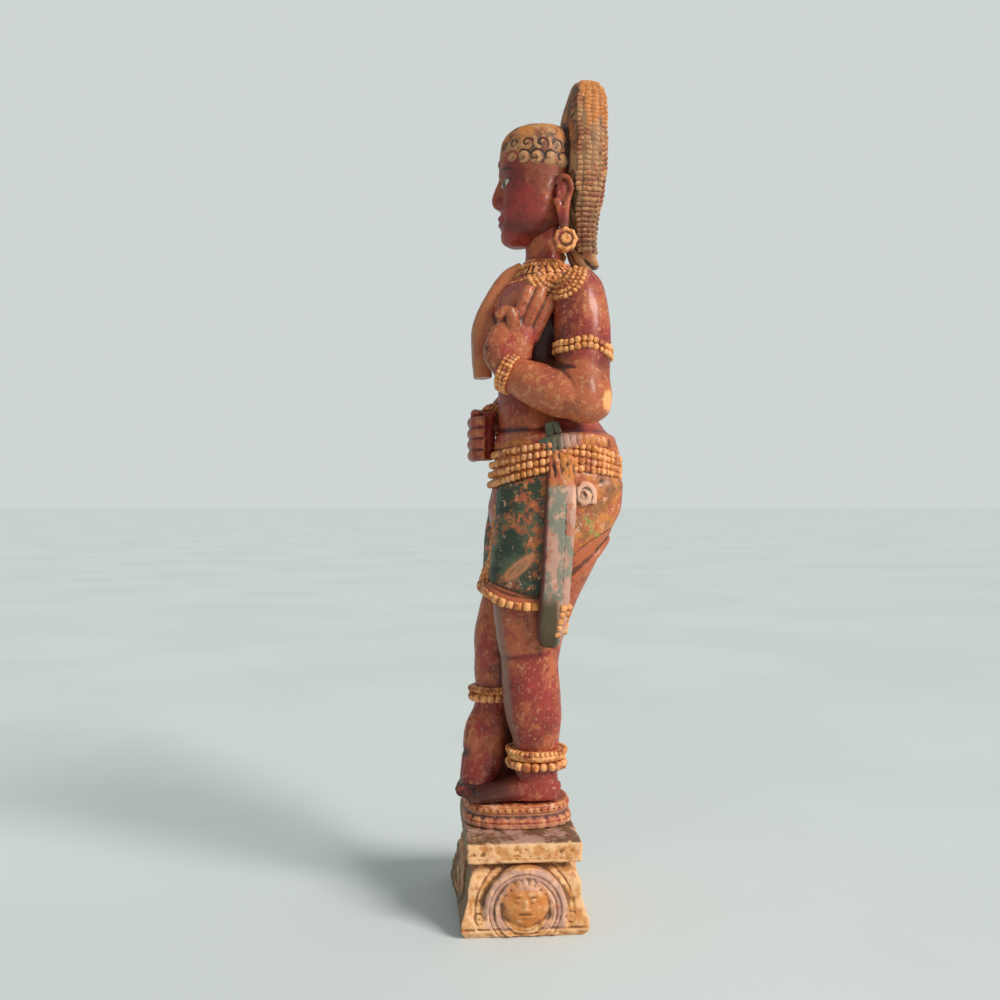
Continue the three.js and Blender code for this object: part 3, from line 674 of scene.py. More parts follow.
def sash_paint(box):
    """Pinkish grey-green outside, with dark red-brown painted shade on the narrow front side."""
    box.varnish(0.5, 0.15, 0.35)
    box.base = box.mixed("rubbed", "gold", box.patches(60, 6, 0.75, 33, 0.47, 0.57))
    box.over("blossom", box.patches(75, 5, 0.7, 35, 0.55, 0.62), 0.6)
    box.over("deep", box.patches(48, 5, 0.7, 38, 0.56, 0.64), 0.8)
    knot = box.base
    pink = box.more(box.noise(44, 6, 0.7, 8, (1, 1, 0.5)), edge=0.12)
    box.base = box.mixed("sash_green", "sash", box.step(pink, 0.46, 0.56))
    box.over("blossom", box.patches(80, 5, 0.7, 3, 0.55, 0.62), 0.6)
    box.over("rubbed", box.patches(60, 6, 0.75, 14, 0.55, 0.62, edge=0.03), 0.7)
    box.over(knot, box.zone("knot"))
    # In this list the front zone is painted shade on the narrow front side; the others are paint colours.
    for coat, zone, share in (("cloth_light", "green", 0.85), ("blossom", "shell", 0.8), ("gold", "leaf", 1.0),
                              ("olive", "end", 0.92), ("deep", "front", 0.9)):
        box.over(coat, box.zone(zone), share)
    # Painted shade in the hollows.
    box.over("dirt", box.hollows(0.12, 0.7), 0.8)
    box.finish(box.noise(90, 6, 0.7, 5), 0.4, 0.0006)


def pad_paint(box):
    """Red-brown petals with rubbed tan edges, a pink lower band and a pink painted highlight along the waist."""
    box.varnish(0.55, 0.12, 0.35)
    broad = box.noise(46, 6, 0.7, 4)
    box.base = box.mixed("skin", "rubbed", box.step(box.more(broad, ridge=0.22), 0.44, 0.58))
    # Pink at the bottom edge, and a pink painted highlight along the waist.
    box.over("sash", box.zone("edge"), 0.6)
    box.over("gold", box.zone("gilt"), box.step(broad, 0.42, 0.56))
    box.over("ground", box.patches(110, 6, 0.75, 9, 0.54, 0.64, ridge=0.09), 0.75)
    box.over("blossom", box.patches(80, 5, 0.7, 13, 0.57, 0.64), 0.7)
    # Painted shade in the hollows.
    box.over("dirt", box.hollows(0.15, 0.9), 0.7)
    box.finish(box.noise(90, 6, 0.7, 7), 0.5, 0.0008)


def plinth_paint(box):
    """Rubbed ochre, cream and mauve over brown; the slab's top partly painted shade, the front dark with dust and
    painted shade.
    """
    box.varnish(0.6, 0.08, 0.4)
    broad = box.noise(36, 6, 0.72, 1)
    mauve = box.mixed("mauve", "blossom", box.patches(62, 6, 0.75, 5, 0.48, 0.58))
    # The slab's top: brown painted shade mixed with mauve paint.
    lid = box.mixed("top_brown", "mauve", box.patches(22, 6, 0.7, 61, 0.46, 0.56))
    box.base = box.mixed("ochre", "cream", box.step(box.more(broad, ridge=0.14), 0.46, 0.60))
    box.over("gold", box.patches(40, 6, 0.7, 6, 0.5, 0.6), 0.6)
    box.over(mauve, box.zone("arch"), 0.85)
    box.over("gold", box.zone("boss"), box.step(broad, 0.38, 0.56))
    box.over(lid, box.zone("top"), 0.9)
    # The front face: dust and painted shade.
    box.over("dust", box.zone("front"), 0.8)
    box.over("rubbed", box.patches(75, 6, 0.75, 16, 0.56, 0.64), 0.65)
    box.over("cream", box.patches(95, 6, 0.75, 22, 0.58, 0.66, ridge=0.06), 0.7)
    # Painted shade in the hollows, then brown specks.
    box.over("umber", box.hollows(0.15, 0.85), 0.75)
    box.over("umber", box.patches(130, 5, 0.75, 12, 0.60, 0.68), 0.5)
    box.finish(box.noise(70, 6, 0.7, 3), 0.5, 0.0009)


def floor_paint(box):
    """A plain pale floor."""
    box.varnish(0.7)
    pale = box.tone("floor")
    shade = (*(part * 0.96 for part in pale[:3]), 1.0)
    box.base = box.blend(pale, shade, box.patches(1.5, 3, 0.5, 0, 0.4, 0.6))
    box.finish(box.noise(90, 3, 0.5), 0.05, 0.0002)


# Settings that a user would change.
def tone(name, description, value):
    """A colour setting."""
    return bpy.props.FloatVectorProperty(
        name=name, description=description, default=value, size=3, min=0.0, max=1.0, subtype="COLOR"
    )


class StatueTones(bpy.types.PropertyGroup):
    """Colours of the paints"""

    skin: tone("Skin", "Deep red paint of the figure", (0.26, 0.032, 0.022))
    rubbed: tone("Rubbed", "Orange-brown where the red has rubbed thin", (0.42, 0.105, 0.042))
    crimson: tone("Crimson", "Brighter red where the paint is whole", (0.33, 0.032, 0.030))
    # Grey-brown painted reflection of the pale surroundings on front faces, with some dust.
    shin: tone("Shin", "Grey-brown down the front of the shin", (0.24, 0.130, 0.088))
    # Also used for painted shade on the feet, between the legs, fingers and arm, under the jaw and on the sash's front
    # side.
    deep: tone("Deep red", "Darkest red-brown paint", (0.11, 0.022, 0.017))
    ground: tone("Ground", "Tan ground that shows in chips", (0.64, 0.30, 0.13))
    # Dark used both for grime and for painted shade: in the hollows, on the painted shade zone and on the garland's
    # hidden back edge; also the painted brows.
    dirt: tone("Dirt", "Dark grime in hollows", (0.022, 0.012, 0.009))
    gold: tone("Gold", "Ochre gold of the jewels", (0.52, 0.180, 0.043))
    bright_gold: tone("Bright gold", "Worn high spots of the gold", (0.84, 0.385, 0.145))
    hair: tone("Hair", "Brown of the hair", (0.115, 0.062, 0.036))
    hair_tan: tone("Hair tan", "Tan high parts of the hair", (0.42, 0.215, 0.10))
    hair_red: tone("Hair red", "Reddish brown of the hair roll", (0.27, 0.065, 0.034))
    cloth: tone("Cloth", "Dark green of the cloth", (0.033, 0.048, 0.030))
    cloth_light: tone("Cloth light", "Greyer green of the cloth", (0.085, 0.105, 0.062))
    streak: tone("Streak", "Yellow-green streaks at the back", (0.27, 0.31, 0.085))
    leaf: tone("Leaf", "Orange-pink strokes of the painted leaf", (0.50, 0.19, 0.085))
    blossom: tone("Blossom", "Pink and cream flowers", (0.72, 0.40, 0.26))
    sash: tone("Sash", "Pinkish grey of the sash", (0.48, 0.265, 0.195))
    sash_green: tone("Sash green", "Grey-green of the sash", (0.20, 0.20, 0.145))
    olive: tone("Olive", "Olive at the sash end", (0.060, 0.046, 0.018))
    ochre: tone("Ochre", "Ochre of the plinth", (0.56, 0.24, 0.075))
    cream: tone("Cream", "Cream of the plinth", (0.74, 0.43, 0.215))
    mauve: tone("Mauve", "Violet-grey of the plinth's arches", (0.45, 0.255, 0.21))
    # Used for painted shade in the plinth's hollows and for brown specks.
    umber: tone("Umber", "Brown in the plinth's hollows", (0.095, 0.042, 0.022))
    # Brown that stands in for the shade on the slab's top.
    top_brown: tone("Slab top", "Brown of the slab's top", (0.125, 0.062, 0.036))
    # Dust and painted shade on the plinth's front face.
    dust: tone("Dust", "Grey-green dust on the plinth's front", (0.10, 0.085, 0.050))
    eye_white: tone("Eye white", "White of the painted eye", (0.62, 0.50, 0.36))
    pupil: tone("Pupil", "Dark of the painted eye", (0.02, 0.018, 0.014))
    floor: tone("Floor", "The plain pale floor", (0.66, 0.70, 0.69))


def metres(name, description, value, low, high):
    """A setting that is a length."""
    return bpy.props.FloatProperty(
        name=name, description=description, default=value, min=low, max=high, unit="LENGTH", precision=4
    )


class StatueSizes(bpy.types.PropertyGroup):
    """Small sizes of the carving and the place of the camera"""

    bead: metres("Belt bead", "Half size of a belt bead", 0.0036, 0.002, 0.005)
    hem_bead: metres("Hem bead", "Half size of a square hem bead", 0.0044, 0.003, 0.006)
    curl: metres("Curl", "Half size of a curl over the brow", 0.0092, 0.006, 0.012)
    roll_bead: metres("Roll bead", "Half height of a flat bead on the hair roll", 0.0028, 0.002, 0.004)
    toolwork: metres("Tool marks", "Depth of the chisel's unevenness", 0.0003, 0.0, 0.001)
    view_height: metres("View height", "Height of the camera above the floor", VIEW_SPOT[2], 0.1, 1.5)
    view_distance: metres("View distance", "How far the camera stands to the figure's left", VIEW_SPOT[0], 0.8, 3.0)


def tones_of(context):
    """The colours in use."""
    return context.scene.statue_tones


def sizes_of(context):
    """The sizes in use."""
    return context.scene.statue_sizes


def paint_of(context, make):
    """The finish, made once and shared by the pieces that wear it."""
    key = make.__name__
    if key not in bpy.data.materials:
        make(Paintbox(key, tones_of(context)))
    return bpy.data.materials[key]


def hem_height(angle):
    """Height of the cloth's lower edge round the left thigh; -90 degrees is the front, 0 the outer side."""
    front = max(0.0, math.cos(angle + math.pi / 2))
    back = max(0.0, math.cos(angle - math.pi / 2))
    inner = max(0.0, -math.cos(angle))
    return 232 + 70 * back**1.2 + 14 * front**3 + 96 * inner**1.4 * (0.35 + 0.65 * front)


def hems(x, y, both=True):
    """The hem's height over each point of the cloth, and the angle of that point round its thigh."""
    angle = np.arctan2(y - 20, x - 30)
    if both:
        angle = np.where(x > 0, angle, np.arctan2(y - 5, -(x + 30)))
    table = np.linspace(-math.pi, math.pi, 181)
    return np.interp(angle, table, [hem_height(a) for a in table]), angle


def cloth_spot(rows, angle, z, extra):
    """A point of the cloth that stands off the leg by extra."""
    x, y, _, a, b = row_at(rows, place_of_height(rows, min(z, LEG_TOP)))[:5]
    u, v = rim(angle, a + extra, b + extra, 2.2)
    return Vector((x + u, y + v, z))


def cloth_panel(bm, rows, hand):
    """The cloth round one thigh, thicker along its hem."""

    def place(t, angle, rho):
        share, thickness = CLOTH_LAYERS[round(t * (len(CLOTH_LAYERS) - 1))]
        outer = angle if hand > 0 else math.pi - angle
        bottom = hem_height(outer) * rho + (1 - rho) * 250
        z = bottom + (CLOTH_TOP - bottom) * share
        spot = cloth_spot(rows, angle, z, thickness)
        x, y = row_at(rows, place_of_height(rows, min(z, LEG_TOP)))[:2]
        return Vector((x + (spot.x - x) * rho, y + (spot.y - y) * rho, z))

    formed(bm, 48, len(CLOTH_LAYERS) - 1, place)


def belt_height(angle, row):
    """Height of the hip belt's rows, which meet in front; -90 degrees is the front."""
    front = np.maximum(0, -np.sin(angle)) ** 1.5
    back = np.maximum(0, np.sin(angle)) ** 1.5
    return 405 - 8 * row - (9 + 2.7 * row) * front + (2 * row - 15) * back


def axis_middle(rows):
    """What the beads of a string round a body face away from."""

    def middle(spot):
        row = row_at(rows, place_of_height(rows, spot[2]))
        return (row[0], row[1], spot[2])

    return middle


class STATUE_OT_body(bpy.types.Operator):
    """Carve the torso, arms and legs"""

    bl_idname = "statue.body"
    bl_label = "Body"

    def execute(self, context):
        depth = sizes_of(context).toolwork / MM
        bm = bmesh.new()
        trunk(bm, TORSO, 44, 60)
        trunk(bm, LEFT_LEG, 36, 48, 2.1)
        trunk(bm, RIGHT_LEG, 36, 50, 2.1)
        limb(bm, [[-12, -28, 30, 12, 12], [-12, -17.5, 44, 12, 20], [-12, -16, 62, 12, 21], [-12, -17, 84, 12, 21],
                  [-13, -20, 106, 12, 16], [-13, -24, 120, 11, 10]], X_AXIS, 24, 24)
        lump(bm, chest_spot(-28, 31, 532), (28, 29, 29), 28)
        lump(bm, chest_spot(25, 29, 529), (24, 25, 27), 28)
        for rows, side in (
            (LEFT_UPPER_ARM, X_AXIS), (LEFT_FOREARM, X_AXIS), (RIGHT_UPPER_ARM, X_AXIS), (RIGHT_FOREARM, Z_AXIS),
        ):
            limb(bm, rows, side, 28, 28)

        def relief(spots, ways):
            x, y, z = spots.T
            front = fall(ways[:, 1], -0.7, -0.2)
            back = slope(ways[:, 1], 0.2, 0.7)
            cut = -3.0 * soft(np.hypot(x - 2, z - 450), 4.0) * front
            cut -= 2.5 * soft(x, 7) * back * slope(z, 440, 480) * fall(z, 570, 596)
            left = slope(x, 2, 6)
            cut -= 0.9 * soft(z - 184 - 0.12 * (y - 10), 4.0) * left * (1 - back)
            far = fall(x, -4, 0)
            knuckle = slope(ways[:, 0], -0.1, 0.5) * far
            cut += 3.2 * hill(z - 92, 10, y + 33, 12) * knuckle
            cut += 2.8 * hill(z - 53, 9, y + 46, 9) * knuckle
            cut -= 1.4 * soft(z - 73 - 0.1 * (y + 40), 3.2) * far * fall(y, -28, -18)
            tendons = np.abs(np.cos((x + 13) * 0.42)) ** 4
            cut -= 1.0 * tendons * far * fall(z, 70, 84) * fall(ways[:, 1], -0.6, -0.2)
            inner_elbow = soft(np.hypot(x - 79, y - 26), 30)
            cut -= 2.4 * soft(z - 484 + 0.2 * (y - 34), 3.0) * inner_elbow * slope(y, 20, 34)
            cut += depth * toolwork(spots, 26, 4)
            return cut

        def marks(spots, ways):
            x, y, z = spots.T
            arms = slope(np.abs(x), 52, 60) * slope(z, 420, 440) * fall(z, 470, 505)
            chest = fall(y, -24, -10) * slope(z, 470, 500)
            knee = slope(z, 182, 200) * fall(z, 230, 240)
            waist = fall(y, 30, 44) * slope(z, 396, 404) * fall(z, 440, 462)
            # Painted shade between the legs, low on the far leg, along the far foot's crease, and in the gap between
            # the left arm and the chest.
            inner = slope(y + 0.3 * z, -12, 10) * fall(x, -2, 4) * fall(z, 100, 128)
            painted_shade = np.maximum(inner, fall(x, -2, 4) * fall(z, 36, 44))
            painted_shade = np.maximum(painted_shade, soft(z - 73 - 0.1 * (y + 40), 5) * fall(x, -2, 4))
            arm_gap_shade = slope(x, 20, 40) * slope(y, 0, 14) * fall(y, 34, 44) * slope(z, 486, 500) * fall(z, 550, 566)
            arm_gap_shade = arm_gap_shade * fall(x, 56, 68) + slope(x, 50, 56) * soft(y - 34, 7) * soft(z - 498, 16)
            # Painted reflection, with some dust, along the front of the near shin.
            front = np.interp(z, [28, 66, 116, 173, 226, 284], [-14, -3, -15, -20, -27, -27])
            shin = slope(front + 9 - y, 0, 5) * slope(x, 6, 14) * fall(z, 226, 246)
            neck = np.hypot((y - 34) / 32, (z - 592) / 36)
            gilt = fall(neck, 0.9, 1.0) * slope(x, 26, 34) * slope(z, 545, 556)
            elbow = soft(np.hypot((y - 84) / 8, (z - 449) / 13), 1.0) * slope(x, 60, 66)
            hem = hems(x, y, both=False)[0]
            hem = fall(z, hem - 4, hem + 8)
            bare = slope(y, 36, 60) * fall(z, 330, 340) * slope(z, 190, 230) * slope(x, 0, 6)
            return {
                "warm": np.clip(0.9 * arms + chest + 0.5 * knee + 0.7 * bare * hem + 0.5 * waist, 0, 1),
                "red": fall(z, 56, 66),
                "painted_shade": np.clip(painted_shade + 0.8 * arm_gap_shade, 0, 1), "shin": shin, "gilt": gilt,
                "chip": slope(elbow + 0.15 * toolwork(spots, 7, 5), 0.42, 0.62),
                "pale": 0.6 * arms * fall(y, 66, 76) * slope(x, 20, 30),
            }

        return of_figure(context, carve(bm, "body", 2.4, relief, marks, ease=4), skin_paint)


class STATUE_OT_head(bpy.types.Operator):
    """Carve the head with a calm, plain face and long-lobed ears"""

    bl_idname = "statue.head"
    bl_label = "Head"

    def execute(self, context):
        bm = bmesh.new()
        trunk(bm, HEAD, 48, 50, 2.1)
        limb(bm, [[0, -10, 706, 3, 6], [0, -16, 692, 3.4, 6], [0, -20, 680, 4.4, 6.5], [0, -21.5, 672, 5.6, 5.8],
                  [0, -16, 666.5, 5.4, 4.5]], X_AXIS, 20, 24)
        for hand in (-1, 1):
            lump(bm, (hand * 5.6, -17, 669.5), (3.8, 5.4, 4.2), 16)
            limb(bm, [[hand * 37, 38, 684, 3, 3], [hand * 41, 43, 691, 3, 3], [hand * 44, 51, 688, 3, 3],
                      [hand * 45, 54, 677, 3, 3], [hand * 43, 50, 666, 3, 3.4], [hand * 43, 47, 650, 3.2, 4.6],
                      [hand * 43, 46, 632, 3.2, 5.4]], X_AXIS, 14, 40)
            lump(bm, (hand * 40, 45, 674), (4, 8, 13), 18)
            lump(bm, (hand * 42, 40, 673), (2.6, 2.8, 4), 12)
            limb(bm, [[hand * 40, 38, 668, 3, 4], [hand * 41, 42, 655, 3, 4], [hand * 42, 44, 640, 3, 4]],
                 X_AXIS, 12, 16)
        lump(bm, (0, -8.5, 633), (11, 9, 8), 20)
        limb(bm, [[-11, -11, 654, 1.4, 1.4], [-6, -16.5, 655, 2.6, 2.4], [0, -18.6, 655, 3, 2.6],
                  [6, -16.5, 655, 2.6, 2.4], [11, -11, 654, 1.4, 1.4]], Z_AXIS, 14, 24)
        limb(bm, [[-9, -12, 651, 1.4, 1.4], [-5, -16, 648.6, 2.6, 2.8], [0, -17.6, 648, 3, 3.2],
                  [5, -16, 648.6, 2.6, 2.8], [9, -12, 651, 1.4, 1.4]], Z_AXIS, 14, 24)

        def almond(x, z, grow):
            """0 at the middle of an eye, 1 along its lids."""
            u = (np.abs(x) - 16.5) / (9.5 + grow)
            v = (z - 689.5 - 0.8 * u) / (3.6 + grow)
            return u * u + np.abs(v) ** 1.6

        def relief(spots, ways):
            x, y, z = spots.T
            front = fall(ways[:, 1], -0.5, -0.1) * fall(y, -2, 6)
            side = np.abs(x)
            cut = -2.6 * hill(side - 14, 9, z - 692, 8)
            cut += 1.4 * hill(side - 18, 13, z - 704, 3.5)
            cut += 1.6 * hill(side - 21, 11, z - 668, 10)
            cut -= 1.2 * hill(side - 12.5, 3, z - 652, 4)
            cut -= 0.9 * hill(x, 1.8, z - 661, 3.5)
            cut -= 1.8 * hill(x, 9, z - 641.5, 2.4)
            inside = almond(x, z, 0)
            cut += 2.3 * np.sqrt(np.clip(1 - inside, 0, 1))
            lid = almond(x, z, 1.5)
            cut += 1.1 * soft(lid - 1.0, 0.35)
            cut = cut * front
            cut += 0.15 * toolwork(spots, 14, 9)
            return cut

        def marks(spots, ways):
            x, y, z = spots.T
            front = fall(y, 0, 8)
            side = np.abs(x)
            eye = slope(1 - almond(x, z, 0), 0.0, 0.15) * front
            iris = fall(np.hypot(side - 16, (z - 690) / 1.15), 3.6, 4.4) * eye
            arc = z - 703.5 - 3.4 * np.cos((side - 16) / 9) + 2.2
            brow = soft(arc, 1.0) * slope(side, 4, 6) * fall(side, 28, 31) * front
            lids = soft(almond(x, z, 0.6) - 1.0, 0.22) * front
            # Painted shade under the jaw.
            jaw = fall(z, 636, 660) * slope(z + 0.4 * y, 630, 640)
            return {
                "eyewhite": eye, "pupil": iris, "brow": np.clip(brow + 0.8 * lids, 0, 1), "painted_shade": 0.55 * jaw,
                "warm": 0.5 * slope(side, 36, 40) + 0.35 * soft(y + 20, 8), "plain": 0.6 * np.ones(len(spots)),
            }

        return of_figure(context, carve(bm, "head", 1.05, relief, marks, ease=3, ridge_size=0.9), skin_paint)


class STATUE_OT_hands(bpy.types.Operator):
    """Carve the raised left hand and the closed right hand"""

    bl_idname = "statue.hands"
    bl_label = "Hands"

    def execute(self, context):
        bm = bmesh.new()
        limb(bm, LEFT_PALM, Y_AXIS, 28, 20, 2.6)
        limb(bm, [[61, -11, 480, 15.5, 16.5], [60, -16, 487, 17, 13.5], [59, -18, 496, 20, 13]], Y_AXIS, 24, 12)
        for rows in LEFT_FINGERS:
            limb(bm, rows, Y_AXIS, 16, 20)
        trunk(bm, RIGHT_PALM, 32, 20, 3)
        for i in range(4):
            z = 433 - i * 12.1
            reach = 2 - 0.5 * abs(i - 1.2)
            limb(bm, [[-30, -42, z, 5, 5], [-22, -46 - reach * 0.4, z, 7, 7], [-10, -45.5 - reach * 0.4, z, 6.4, 6.6],
                      [-2, -43 - reach * 0.4, z, 6.8, 6.8], [4, -34, z, 6, 6]], Z_AXIS, 16, 20)
        limb(bm, RIGHT_THUMB, Z_AXIS, 16, 16)

        def relief(spots, ways):
            return 0.15 * toolwork(spots, 12, 21)

        def marks(spots, ways):
            # Painted shade between the raised fingers.
            between = sum(
                soft((spots[:, 1] - 8 - 6 * k) - (spots[:, 2] - 520 + 3 * k) * 0.47, 1.1) for k in (-1, 1)
            )
            between = between * slope(spots[:, 2], 522, 532) * slope(spots[:, 0], 20, 30)
            return {"warm": slope(spots[:, 0], 0, 20), "painted_shade": 0.3 * np.clip(between, 0, 1),
                    "pale": slope(spots[:, 2], 516, 532) * slope(spots[:, 0], 0, 20)}

        return of_figure(context, carve(bm, "hands", 1.15, relief, marks, ease=3), skin_paint)


class STATUE_OT_feet(bpy.types.Operator):
    """Carve both feet with their toes"""

    bl_idname = "statue.feet"
    bl_label = "Feet"

    def execute(self, context):
        bm = bmesh.new()
        limb(bm, LEFT_FOOT, X_AXIS, 28, 28)
        trunk(bm, [[-13, -46, 25, 24, 17], [-13, -45, 31, 24, 18], [-13.5, -42, 42, 22, 19]], 32, 8)
        for x, y, z, outward in ((21, -45, 30, 1), (-13, -53, 31, -1)):
            for share, length, radius in TOES:
                spot = (x + outward * share * 22, y - length * 0.35, z)
                lump(bm, spot, (radius, length, radius), 16)
                lump(bm, (spot[0], spot[1] - length * 0.55, z + radius * 0.62), (radius * 0.6, 3.2, 1.6), 12)

        def relief(spots, ways):
            return 0.15 * toolwork(spots, 12, 33)

        def marks(spots, ways):
            x, y, z = spots.T
            # Painted shade over the far foot and the front of the near foot.
            return {"painted_shade": 0.9 * np.clip(fall(x, -4, 4) + fall(y, -24, 12), 0, 1), "red": np.ones(len(spots))}

        return of_figure(context, carve(bm, "feet", 1.25, relief, marks, ease=2), skin_paint)


def roll_line(share, sink):
    """A line that runs up one edge of the hair roll, over its top and down the other."""
    line = []
    for i in range(90):
        row = row_at(HAIR_ROLL, 0.10 + 0.90 * i / 89)
        place = share + 0.035 * math.sin(i * 0.55 + share * 9)
        across = (1 - min(abs(place), 0.98) ** 2.8) ** (1 / 2.8)
        line.append(((row[3] - sink) * across, row[1] + row[4] * place, row[2] - sink * 0.5))
    return line + [(-x, y, z) for x, y, z in reversed(line)]


class STATUE_OT_hair(bpy.types.Operator):
    """Carve the curled cap of hair and the tall beaded roll behind it"""

    bl_idname = "statue.hair"
    bl_label = "Hair"

    def execute(self, context):
        curl = sizes_of(context).curl / MM
        bm = bmesh.new()

        def dome(t, angle, rho):
            z = -0.5 + 1.46 * math.sin(t * math.pi / 2)
            brow = 0.5 + 0.5 * math.cos(angle + math.pi / 2)
            z = max(z, (-0.5 + 0.32 * brow) * rho - (1 - rho) * 0.5)
            reach = max(0.0, 1 - abs(z) ** 2.7) ** (1 / 2.7) * rho
            return Vector((math.cos(angle) * reach * 43, 25 + math.sin(angle) * reach * 44, 721 + z * 35))

        formed(bm, 48, 16, dome)
        curls = []
        for tier, (height, wide, deep, count, size) in enumerate((
            (0, 38.5, 39.5, 13, 1.0), (14, 35.5, 36.5, 12, 0.9), (26, 25, 26, 9, 0.85), (31, 11, 12, 5, 0.8),
        )):
            for i in range(count):
                angle = math.radians(-208 + 236 * (i + 0.5 * (tier % 2)) / (count - 1))
                brow = 0.5 + 0.5 * math.cos(angle + math.pi / 2)
                spot = Vector((math.cos(angle) * wide, 25 + math.sin(angle) * deep, 708 + 6 * brow + height))
                turn = Quaternion(Z_AXIS, angle).to_matrix()
                lump(bm, spot, (curl * size * 0.75, curl * size, curl * size * 1.05), 18, turn)
                curls.append(spot)
        trunk(bm, HAIR_ROLL, 48, 60, 2.8)
        limb(bm, [[0, 62, 700, 34, 14], [0, 66, 670, 32, 16], [0, 66, 640, 27, 15], [0, 70, 612, 18, 12],
                  [0, 78, 596, 9, 7]], X_AXIS, 32, 32, 2.4)

        def relief(spots, ways):
            x, y, z = spots.T
            cap = fall(y, 50, 56)
            centres = np.array([tuple(spot) for spot in curls])
            nearest = np.array([np.argmin(((centres - spot) ** 2).sum(1)) for spot in spots])
            away = spots - centres[nearest]
            off = np.hypot(np.hypot(away[:, 0], away[:, 1]), away[:, 2])
            twist = np.arctan2(away[:, 2], away[:, 1] * np.sign(centres[nearest][:, 0] + 0.01))
            cut = -0.8 * np.abs(np.cos(off * 0.62 + twist / 2)) ** 7 * cap * fall(off, 11, 14)
            nape = fall(z, 680, 700) * (1 - cap) * fall(y, 66, 74)
            cut -= 1.0 * np.abs(np.cos(x / 3.2 + z / 40)) ** 5 * nape
            back = slope(ways[:, 1], 0.5, 0.8)
            cut -= 1.4 * np.abs(np.cos(np.arctan2(z - 700, x) * 12)) ** 8 * back
            cut += 0.2 * toolwork(spots, 12, 44)
            return cut

        def marks(spots, ways):
            x, y, z = spots.T
            cap = fall(y, 54, 60) * slope(z, 720, 745)
            roll = slope(y, 50, 54) * slope(z, 610, 620)
            under = slope(y, 57, 59.5) * slope(z, 622, 634) * fall(z, 796, 802)
            return {
                "gilt": np.clip(slope(y, 66, 74) * slope(z, 725, 765) + 0.45 * cap, 0, 1),
                "under": under, "low": fall(z, 640, 690) * roll, "red": 0.4 * roll,
            }

        of_figure(context, carve(bm, "hair", 1.35, relief, marks, ease=2), hair_paint)

        rib = sizes_of(context).roll_bead / MM
        bm = bmesh.new()
        for share, wide, sink in ((-0.40, 4.0, 1.2), (-0.06, 4.3, 1.4), (0.28, 4.3, 1.6), (0.60, 4.0, 2.4),
                                  (0.88, 3.4, 3.6)):
            beads_along(bm, roll_line(share, sink), lambda spot: (0, spot[1], min(spot[2], 752)), (rib, 2.2, wide),
                        0.7, closed=False)
        strung = small_work(bm, "roll_beads")
        _, y, z = points_of(strung.data).T
        keep_mark(strung.data, "gilt", slope(z, 0.815, 0.86) * slope(y, 0.06, 0.075))
        keep_mark(strung.data, "red", slope(z, 0.72, 0.75) * fall(z, 0.83, 0.88))
        keep_mark(strung.data, "low", fall(z, 0.735, 0.775))
        return of_figure(context, strung, hair_paint)


class STATUE_OT_cloth(bpy.types.Operator):
    """Carve the cloth round both thighs and hips"""

    bl_idname = "statue.cloth"
    bl_label = "Cloth"

    def execute(self, context):
        bm = bmesh.new()
        cloth_panel(bm, LEFT_LEG, 1)
        cloth_panel(bm, RIGHT_LEG, -1)
        trunk(bm, [[1, 39, 330, 60, 62, 0], [2, 42, 361, 71.5, 70.5, 0], [4, 43, 388, 69.5, 69.5, 2],
                   [4, 42, 405, 67.5, 67.5, 4], [4, 41, 414, 62, 63, 4]], 44, 24)

        def relief(spots, ways):
            x, y, z = spots.T
            hem, angle = hems(x, y)
            cut = -1.1 * soft(z - hem - 17, 1.3) * fall(z, 340, 352)
            fold = np.abs(np.cos(angle * 9 + z / 30))
            cut -= 0.9 * fold**8 * slope(z, 300, 330) * slope(ways[:, 1], -0.1, 0.4)
            around = np.arctan2(y - 42, x - 2)
            cut -= 1.3 * slope(z - belt_height(around, 3.6), -1, 1) * slope(belt_height(around, -0.6) - z, -1, 1)
            cut += 0.35 * toolwork(spots, 18, 50)
            return cut

        def marks(spots, ways):
            x, y, z = spots.T
            hem = hems(x, y)[0]
            around = np.arctan2(y - 42, x - 2)
            lap = 7 * np.sin(z / 9) + 0.35 * (z - 330)
            streak = soft(y - 66 - (330 - z) * 0.5 - 2 * np.sin(z / 4), 4.5) * fall(z, 326, 336) * slope(x, 20, 30)
            stem = y + 4 - 0.95 * (z - 278)
            leaf = soft(stem - 7 * np.sin((z - 262) / 9.5), 2.0) + soft(stem + 7 * np.sin((z - 262) / 9.5), 2.0)
            leaf = leaf + soft(stem, 1.1) + 0.45 * soft(stem, 7)
            leaf = leaf * slope(z, 262, 266) * fall(z, 290, 294) * slope(x, 20, 30)
            belt = slope(z - belt_height(around, 3.2), -3, 0)
            return {
                "back": slope(y, 44, 56), "streak": np.clip(streak, 0, 1), "leaf": np.clip(leaf, 0, 1),
                "belt": np.clip(belt, 0, 1), "figured": slope(y + lap * 0.3, -2, 10) * fall(y, 30, 40),
                "border": slope(hem + 17 - z, -1, 1) * fall(z, 310, 330),
            }

        return of_figure(context, carve(bm, "cloth", 1.8, relief, marks, ease=5), cloth_paint)


